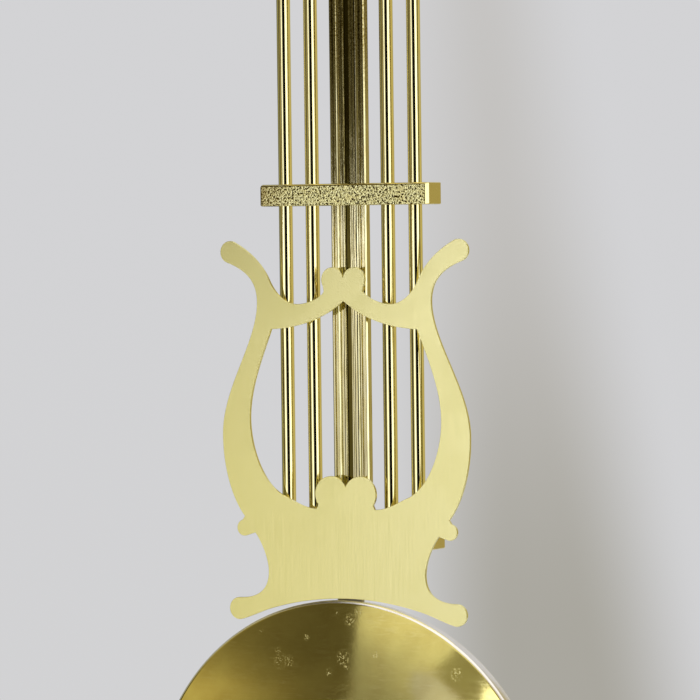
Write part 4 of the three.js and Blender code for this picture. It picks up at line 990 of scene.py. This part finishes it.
brushed_brass = metal_finish(
    "brushed brass", (0.95, 0.88, 0.43), (0.90, 0.82, 0.35), (0.19, 0.25), (2600, 2600, 70), 0.0015, 45,
    (0, lyre_front, middle_bar_z - 60),
)
# The brush lines' hollows are painted a little darker, as painted shade.
shaded_hollows(brushed_brass, 0.30, 0.62, (0.90, 0.83, 0.38))
finished(
    "lyre", plate(both_sides(edge_path), [both_sides(window_path)], lyre_front, lyre_back, lyre_edge),
    brushed_brass, "pendulum", ("lyre_plate",), sharp=15,
)

# Behind the lower crossbar two studs soldered to the lyre end in hexagon nuts, and a post with a
# screw holds the plate off the bar behind the upper lobes.
stud_d, stud_x, stud_beyond, stud_bevel = 2.5, 16.6, 0.6, 0.25
nut_flats, nut_height, nut_play, nut_edge = 5, 2, 0.05, 0.12
post_d, post_z, post_bevel, post_screw_beyond = 4, middle_bar_z - 27, 0.2, 2.2
stud_end = crossbar_back + nut_height + stud_beyond


def bevelled_post(diameter, length, bevel):
    """The profile of a round post with its far end bevelled."""
    radius = diameter / 2
    return [(0, 0), (radius, 0), (radius, length - bevel), (radius - bevel, length), (0, length)]


stud_profile = bevelled_post(stud_d, stud_end - lyre_back, stud_bevel)
for side, x in (("left", -stud_x), ("right", stud_x)):
    stud = turned(stud_profile, "Y", (x, lyre_back, lower_bar_z))
    finished(f"lyre_stud_{side}_brass", stud, polished_brass, "pendulum", (f"lyre_stud_{side}",))
    corner_turns = [math.radians(60 * i) for i in range(6)]
    corner = nut_flats / math.sqrt(3)
    hexagon = [(x + corner * math.sin(turn), lower_bar_z + corner * math.cos(turn)) for turn in corner_turns]
    bore = arc((x, lower_bar_z), stud_d / 2 + nut_play, 0, 350, 35)
    nut = plate(hexagon, [bore], crossbar_back, crossbar_back + nut_height, nut_edge)
    finished(f"lyre_nut_{side}_brass", nut, polished_brass, "pendulum", (f"lyre_nut_{side}",), sharp=30)
post_profile = bevelled_post(post_d, bar_front - lyre_back, post_bevel)
finished("lyre_post_brass", turned(post_profile, "Y", (0, lyre_back, post_z)), polished_brass, "pendulum",
         ("lyre_post",))
grown(
    "lyre_post_screw_steel", screw_tree, [(0, bar_back, post_z)], "Y", bright_steel, "pendulum",
    ("lyre_post_screw",), "steel", Shank_length=bar_thickness + post_screw_beyond,
)

# The bob hangs on a flat steel strip that is screwed to the lower crossbar and bent forward beneath
# it, so that it runs straight behind the bob.
strip_width, strip_end_width, strip_thickness, strip_edge, strip_y = 8, 6, 1.5, 0.12, rods_y - 2.2
strip_screw_x, strip_screw_length = 2.5, 5.3
bob_z, bob_r = middle_bar_z - 178.9, 63.5
fork_foot = bob_z - bob_r + 3
fork_top = fork_foot + 9
strip_foot = fork_top - 5
strip_top = lower_bar_z + crossbar_height / 2 + 6
joggle_top = lower_bar_z - crossbar_height / 2 - 2
joggle_foot = joggle_top - 8


def bent(points, radius, steps=6):
    """A line of points with each inner corner rounded."""
    result = [points[0]]
    for before, at, after in zip(points, points[1:], points[2:]):
        a, b, c = Vector(before), Vector(at), Vector(after)
        first, second = (a - b).normalized(), (c - b).normalized()
        reach = min(radius, (a - b).length / 2, (c - b).length / 2)
        start, end = b + first * reach, b + second * reach
        for i in range(steps + 1):
            t = i / steps
            result.append(tuple(start * (1 - t) ** 2 + b * 2 * t * (1 - t) + end * t * t))
    result.append(points[-1])
    return result


def strap(line, thickness):
    """The outline of a strap whose middle follows a line."""
    left, right = [], []
    for i, point in enumerate(line):
        before, after = Vector(line[max(i - 1, 0)]), Vector(line[min(i + 1, len(line) - 1)])
        along = (after - before).normalized()
        across = Vector((-along.y, along.x)) * thickness / 2
        left.append(tuple(Vector(point) + across))
        right.append(tuple(Vector(point) - across))
    return left + right[::-1]


strip_line = bent(
    [(bar_back + strip_thickness / 2, strip_top), (bar_back + strip_thickness / 2, joggle_top),
     (strip_y, joggle_foot), (strip_y, fork_top + 0.1)], 1.6,
)
strip_outline = strap(strip_line, strip_thickness)
strip_mesh = plate(strip_outline, [], -strip_width / 2, strip_width / 2, strip_edge, "X")
strip_end = block(
    (-strip_end_width / 2, strip_y - strip_thickness / 2, strip_foot),
    (strip_end_width / 2, strip_y + strip_thickness / 2, fork_top + 1), 0.05,
)
browned_steel = metal_finish(
    "browned steel", (0.38, 0.35, 0.29), (0.28, 0.25, 0.20), (0.28, 0.45), (1500, 1500, 90), 0.003
)
finished("strip", carved(strip_mesh, [strip_end], "UNION"), browned_steel, "pendulum", ("pendulum_strip",),
         sharp=35)
grown(
    "strip_screws", screw_tree,
    [(x, crossbar_back, lower_bar_z) for x in (-strip_screw_x, strip_screw_x)], "Y", bright_steel,
    "pendulum", ("strip_screw_left", "strip_screw_right"), "steel", Shank_length=strip_screw_length,
)

# The rating screw is forked over the strip's end and riveted there. Its thread has a 0.5 mm lead, and
# its lower end is peened so that the nut can't come off.
nut_top = bob_z - bob_r - 0.3
nut_foot = nut_top - 6.5
peened_top = nut_foot - 8.3
peened_foot = peened_top - 1.2
thread_lead, thread_r, core_r, peened_r = 0.5, 1.5, 1.22, 1.9
fork_half, slot_half, slot_end = 1.7, 0.8, strip_foot - 0.05
fork_side = [(fork_half, fork_foot), (fork_half, fork_top), (slot_half, fork_top), (slot_half, slot_end)]
fork_outline = [(strip_y - half, z) for half, z in fork_side]
fork_outline += [(strip_y + half, z) for half, z in reversed(fork_side)]
fork_mesh = plate(fork_outline, [], -strip_end_width / 2, strip_end_width / 2, 0.1, "X")
core_profile = [(0, peened_foot), (peened_r - 0.4, peened_foot), (peened_r, peened_foot + 0.4),
                (peened_r, peened_top - 0.15), (peened_r - 0.15, peened_top), (core_r, peened_top + 0.05),
                (core_r, fork_foot + 1), (0, fork_foot + 1)]

thread_tree, thread_in, thread_end = node_tool("thread", {"Radius": 0.0015, "Lead": 0.0005, "Length": 0.02})
thread_depth = maths(thread_tree, "MULTIPLY", thread_in["Lead"], 0.31)
thread_root = maths(thread_tree, "SUBTRACT", thread_in["Radius"], thread_depth)
thread_turns = maths(thread_tree, "DIVIDE", thread_in["Length"], thread_in["Lead"])
thread_helix = add_node(
    thread_tree, "GeometryNodeCurveSpiral", Resolution=20, Start_Radius=thread_root,
    End_Radius=thread_root, Height=thread_in["Length"], Rotations=thread_turns,
)
thread_section = add_node(thread_tree, "GeometryNodeCurvePrimitiveCircle", Resolution=4, Radius=thread_depth)
thread_ridge = add_node(
    thread_tree, "GeometryNodeCurveToMesh", Fill_Caps=True, Curve=thread_helix.outputs["Curve"],
    Profile_Curve=thread_section.outputs["Curve"],
)
set_out(thread_tree, thread_in, thread_end, thread_ridge.outputs["Mesh"])
thread_mesh = grown(
    "rating_thread", thread_tree, [(0, strip_y, peened_top + 0.3)], "Z", bright_steel,
    Radius=thread_r, Lead=thread_lead, Length=fork_foot - peened_top - 1.2,
)
rating_screw = joined("rating_screw", [fork_mesh, turned(core_profile, "Z", (0, strip_y, 0)), thread_mesh])
finished("rating_screw_steel", rating_screw, bright_steel, "pendulum", ("rating_screw",))
grown(
    "fork_rivet_steel", rivet_tree, [(0, strip_y - fork_half, strip_foot + 2.5)], "Y", bright_steel,
    "pendulum", ("fork_rivet",), "steel",
    Head_diameter=2.6, Head_height=0.3, Shank_diameter=1.5, Grip=fork_half * 2,
)

# The rating nut: a knurled brass flange on a plain hub, turned by finger to raise or lower the bob.
# Each knurl is a small rib with tapered ends.
nut_r, nut_bore, flange_height, hub_r, knurls = 7, 1.6, 4, 4.5, 30
knurl_r, knurl_tip_r, knurl_tip = 0.52, 0.2, 0.4
nut_tree, nut_in, nut_end = node_tool("knurled nut", {"Radius": 0.007, "Flange height": 0.004, "Knurls": 30})
nut_ring = add_node(
    nut_tree, "GeometryNodeCurvePrimitiveCircle", Resolution=nut_in["Knurls"],
    Radius=maths(nut_tree, "SUBTRACT", nut_in["Radius"], knurl_r * MM),
)
nut_waist = maths(nut_tree, "SUBTRACT", nut_in["Flange height"], knurl_tip * 2 * MM)
nut_parts = []
for low_r, high_r, depth, lift in (
    (knurl_r, knurl_r, nut_waist, 0), (knurl_tip_r, knurl_r, knurl_tip * MM, -knurl_tip * MM),
    (knurl_r, knurl_tip_r, knurl_tip * MM, nut_waist),
):
    cone = add_node(
        nut_tree, "GeometryNodeMeshCone", Vertices=12, Radius_Top=high_r * MM, Radius_Bottom=low_r * MM,
        Depth=depth,
    )
    nut_parts.append(lifted(nut_tree, cone.outputs["Mesh"], lift))
nut_ribs = add_node(
    nut_tree, "GeometryNodeInstanceOnPoints", Points=nut_ring.outputs["Curve"],
    Instance=gathered(nut_tree, nut_parts),
)
set_out(nut_tree, nut_in, nut_end, nut_ribs.outputs["Instances"])
flange_foot, flange_r, flange_bevel = nut_top - flange_height, nut_r - 0.35, 0.35
nut_bevel, hub_fillet = 0.3, 0.25
nut_mesh = grown(
    "knurls", nut_tree, [(0, strip_y, flange_foot + knurl_tip)], "Z", polished_brass,
    Radius=nut_r, Flange_height=flange_height, Knurls=knurls,
)
nut_profile = [
    (nut_bore, nut_top - nut_bevel), (nut_bore + nut_bevel, nut_top), (flange_r - flange_bevel, nut_top),
    (flange_r, nut_top - flange_bevel), (flange_r, flange_foot + flange_bevel),
    (flange_r - flange_bevel, flange_foot), (hub_r + hub_fillet, flange_foot),
    (hub_r, flange_foot - hub_fillet), (hub_r, nut_foot + nut_bevel), (hub_r - nut_bevel, nut_foot),
    (nut_bore + nut_bevel, nut_foot), (nut_bore, nut_foot + nut_bevel),
]
finished("rating_nut_brass", joined("rating_nut", [nut_mesh, turned(nut_profile, "Z", (0, strip_y, 0), 72)]),
         polished_brass, "rating_nut", ("rating_nut",))

# The bob's front is spun from thin brass over a low domed former, its rim rolled round and hemmed
# behind. It is buffed and lacquered, and carries faint marks of handling.
bob_back_y = rods_y - 4.3
rim_front_y = bob_back_y - 4.3
dome_height, shoulder_r, hem_width, hem_roll, bob_sheet = 5, 1.1, 3, 0.55, 0.6
dome_edge = bob_r - shoulder_r
dome_r = (dome_edge ** 2 + dome_height ** 2) / (2 * dome_height)
dome_lean = math.degrees(math.asin(dome_edge / dome_r))
shell_profile = arc((0, rim_front_y - dome_height + dome_r), dome_r, -90, dome_lean - 90, 40)
shell_profile += arc((dome_edge, rim_front_y + shoulder_r), shoulder_r, dome_lean - 90, 0, 10)[1:]
shell_profile += arc((bob_r - hem_roll, bob_back_y - hem_roll), hem_roll, 0, 90, 6)
shell_profile += [(bob_r - hem_width + 0.1, bob_back_y), (bob_r - hem_width, bob_back_y - 0.1),
                  (bob_r - hem_width, bob_back_y - bob_sheet), (bob_r - bob_sheet, bob_back_y - bob_sheet),
                  (bob_r - bob_sheet, rim_front_y + shoulder_r), (dome_edge - 2, rim_front_y + 0.9),
                  (0, rim_front_y - dome_height + bob_sheet)]
spun_brass = metal_finish(
    "spun brass", (0.82, 0.72, 0.27), (0.74, 0.63, 0.22), (0.06, 0.13), (700, 700, 700), 0.002, 26,
    (0, rim_front_y, bob_z),
)
bob_tree = spun_brass.node_tree
bob_face = add_node(
    bob_tree, "ShaderNodeVectorMath", "MULTIPLY", i0=bob_tree.nodes["place"].outputs["Vector"], i1=(1, 0, 1)
).outputs["Vector"]
# Cloudy lacquer and short wiping strokes over the whole face.
cloud = ramp(bob_tree, noise(bob_tree, bob_face, 95, 4, distortion=0.25), 0.32, 0.70)
wiping = add_node(
    bob_tree, "ShaderNodeMapping", Vector=bob_face, Rotation=(0, 0.28, 0), Scale=(210, 1, 1150)
).outputs["Vector"]
stroke = ramp(bob_tree, noise(bob_tree, wiping, 1, 3, distortion=0.9), 0.50, 0.68)
worn = maths(bob_tree, "MULTIPLY", stroke, cloud)
stained(spun_brass, maths(bob_tree, "MULTIPLY", cloud, 0.55), (0.60, 0.47, 0.14))
stained(spun_brass, maths(bob_tree, "MULTIPLY", worn, 0.34), (0.93, 0.85, 0.44))
# Small marks of handling, each [right of the middle, above the middle, size], broken into specks.
bob_spots = 0.0
for right, up, size in (
    (3.5, 58.1, 2.3), (1.7, 47.5, 2.6), (-18.8, 45.9, 2.6), (-16.0, 46.1, 2.0), (-19.7, 48.8, 1.2),
    (-1.0, 59.9, 0.8), (3.0, 45.0, 1.0), (5.8, 60.7, 1.6), (12.0, 48.7, 1.5), (37.3, 44.0, 2.2),
    (-25.9, 54.0, 1.0), (-10.4, 53.0, 1.3), (-2.5, 43.4, 1.4),
):
    away = add_node(bob_tree, "ShaderNodeVectorMath", "DISTANCE", i0=bob_face, i1=(right * MM, 0, up * MM))
    spot = ramp(bob_tree, away.outputs["Value"], size * MM, size * 0.2 * MM)
    bob_spots = maths(bob_tree, "MAXIMUM", bob_spots, spot)
specks = ramp(bob_tree, noise(bob_tree, bob_face, 1900, 2, distortion=0.9), 0.53, 0.64)
lint = maths(bob_tree, "MULTIPLY", bob_spots, specks)
lint_share = maths(bob_tree, "MULTIPLY", lint, 0.45)
stained(spun_brass, lint_share, (0.62, 0.55, 0.30))
bob_surface = bob_tree.nodes["Principled BSDF"]
bob_shine = bob_surface.inputs["Roughness"].links[0].from_socket
rubbed = maths(bob_tree, "MULTIPLY_ADD", worn, 0.035, bob_shine)
fill(
    bob_tree, bob_surface, Metallic=maths(bob_tree, "SUBTRACT", 1.0, lint_share),
    Roughness=maths(bob_tree, "MULTIPLY_ADD", lint, 0.4, rubbed),
)

pale_rim = metal_finish(
    "pale rim", (0.90, 0.86, 0.80), (0.80, 0.74, 0.64), (0.22, 0.36), (900, 900, 900), 0.004, 60
)
rim_width, rim_back = 0.6, 0.5
bob_front = turned(shell_profile, "Y", (0, 0, bob_z), 192)
bob_front.materials.append(spun_brass)
bob_front.materials.append(pale_rim)
for face in bob_front.polygons:
    from_middle = math.hypot(face.center.x, face.center.z - bob_z * MM) / MM
    if from_middle > bob_r - rim_width and face.center.y < (bob_back_y - rim_back) * MM:
        face.material_index = 1
finished("bob_front", bob_front, None, "bob", ("bob_shell",), sharp=45)

# The bob is closed behind by a steel disc that carries a cast iron weight on its inner side, held by
# one large rivet with a collar between the two.
plate_sheet, plate_r = 0.8, bob_r - bob_sheet - 0.1
plate_back = bob_back_y - bob_sheet - 0.1
plate_front = plate_back - plate_sheet
weight_r, weight_thickness, weight_gap, weight_bevel = 46, 3, 0.75, 0.6
weight_back = plate_front - weight_gap
weight_front = weight_back - weight_thickness
plated_steel = metal_finish(
    "plated steel", (0.60, 0.61, 0.62), (0.44, 0.45, 0.46), (0.30, 0.48), (300, 300, 300), 0.01, 35,
    (0, plate_back, bob_z),
)
cast_iron = metal_finish(
    "cast iron", (0.20, 0.20, 0.21), (0.12, 0.11, 0.11), (0.55, 0.75), (900, 900, 900), 0.05, 60
)
plate_profile = [(0, plate_front), (plate_r, plate_front), (plate_r, plate_back), (0, plate_back)]
finished("bob_back", turned(plate_profile, "Y", (0, 0, bob_z), 128), plated_steel, "bob",
         ("bob_back_plate",))
weight_profile = [(0, weight_front), (weight_r - weight_bevel, weight_front),
                  (weight_r, weight_front + weight_bevel), (weight_r, weight_back), (0, weight_back)]
finished("weight", turned(weight_profile, "Y", (0, 0, bob_z), 96), cast_iron, "bob", ("bob_weight",))
collar_r, centre_shank_r = 4.5, 2.5
centre_profile = [
    (0, weight_front - 0.8), (2.7, weight_front - 0.64), (collar_r, weight_front),
    (centre_shank_r, weight_front), (centre_shank_r, weight_back), (collar_r, weight_back),
    (collar_r, plate_front), (centre_shank_r, plate_front), (centre_shank_r, plate_back),
    (collar_r, plate_back), (4.3, plate_back + 0.22), (3.8, plate_back + 0.46), (2.9, plate_back + 0.66),
    (1.6, plate_back + 0.77), (0, plate_back + 0.8),
]
finished("centre_rivet", turned(centre_profile, "Y", (0, 0, bob_z)), bright_steel, "bob",
         ("bob_centre_rivet",))

# Two steel straps bent over the strip guide the bob. Each foot has one rivet into the back plate.
guide_offset, guide_height, guide_sheet, guide_foot, guide_play, guide_edge = 36, 8, 1, 4, 0.2, 0.08
guide_inside = strip_width / 2 + guide_play
guide_outside = guide_inside + guide_sheet
guide_rivet_x = guide_outside + guide_foot / 2
leg_x, foot_y = guide_inside + guide_sheet / 2, plate_back + guide_sheet / 2
roof_y = strip_y + strip_thickness / 2 + guide_play + guide_sheet / 2
guide_line = bent(
    [(-guide_outside - guide_foot, foot_y), (-leg_x, foot_y), (-leg_x, roof_y), (leg_x, roof_y),
     (leg_x, foot_y), (guide_outside + guide_foot, foot_y)], 0.7, 4,
)
guide_outline = strap(guide_line, guide_sheet)
for name, z in (("guide_upper", bob_z + guide_offset), ("guide_lower", bob_z - guide_offset)):
    strap_mesh = plate(guide_outline, [], z - guide_height / 2, z + guide_height / 2, guide_edge, "Z")
    finished(name + "_strap", strap_mesh, bright_steel, "bob", (name,), sharp=35)
grown(
    "guide_rivets", rivet_tree,
    [(x, plate_front, bob_z + z)
     for z in (guide_offset, -guide_offset) for x in (-guide_rivet_x, guide_rivet_x)],
    "Y", bright_steel, "bob",
    ("guide_rivet_upper_left", "guide_rivet_upper_right", "guide_rivet_lower_left",
     "guide_rivet_lower_right"),
    "steel", Head_diameter=2.8, Head_height=0.5, Shank_diameter=1.6, Grip=plate_sheet + guide_sheet,
)

# A bowed leaf under the upper guide presses on the strip, so that the bob doesn't rattle.
bow_top = bob_z + guide_offset + guide_height / 2 - 1
bow_length, bow_width, bow_sheet, bow_play, bow_steps = 28, 6, 0.3, 0.1, 40
bow_back = plate_back + bow_play
bow_rise = strip_y - strip_thickness / 2 - bow_play - bow_back - bow_sheet
bow_line = [
    (bow_back + bow_sheet / 2 + bow_rise * math.sin(math.pi * i / bow_steps) ** 2,
     bow_top - bow_length + bow_length * i / bow_steps)
    for i in range(bow_steps + 1)
]
bow_mesh = plate(strap(bow_line, bow_sheet), [], -bow_width / 2, bow_width / 2, 0.04, "X")
finished("bowed_leaf", bow_mesh, spring_steel, "bob", ("friction_spring",), sharp=50)
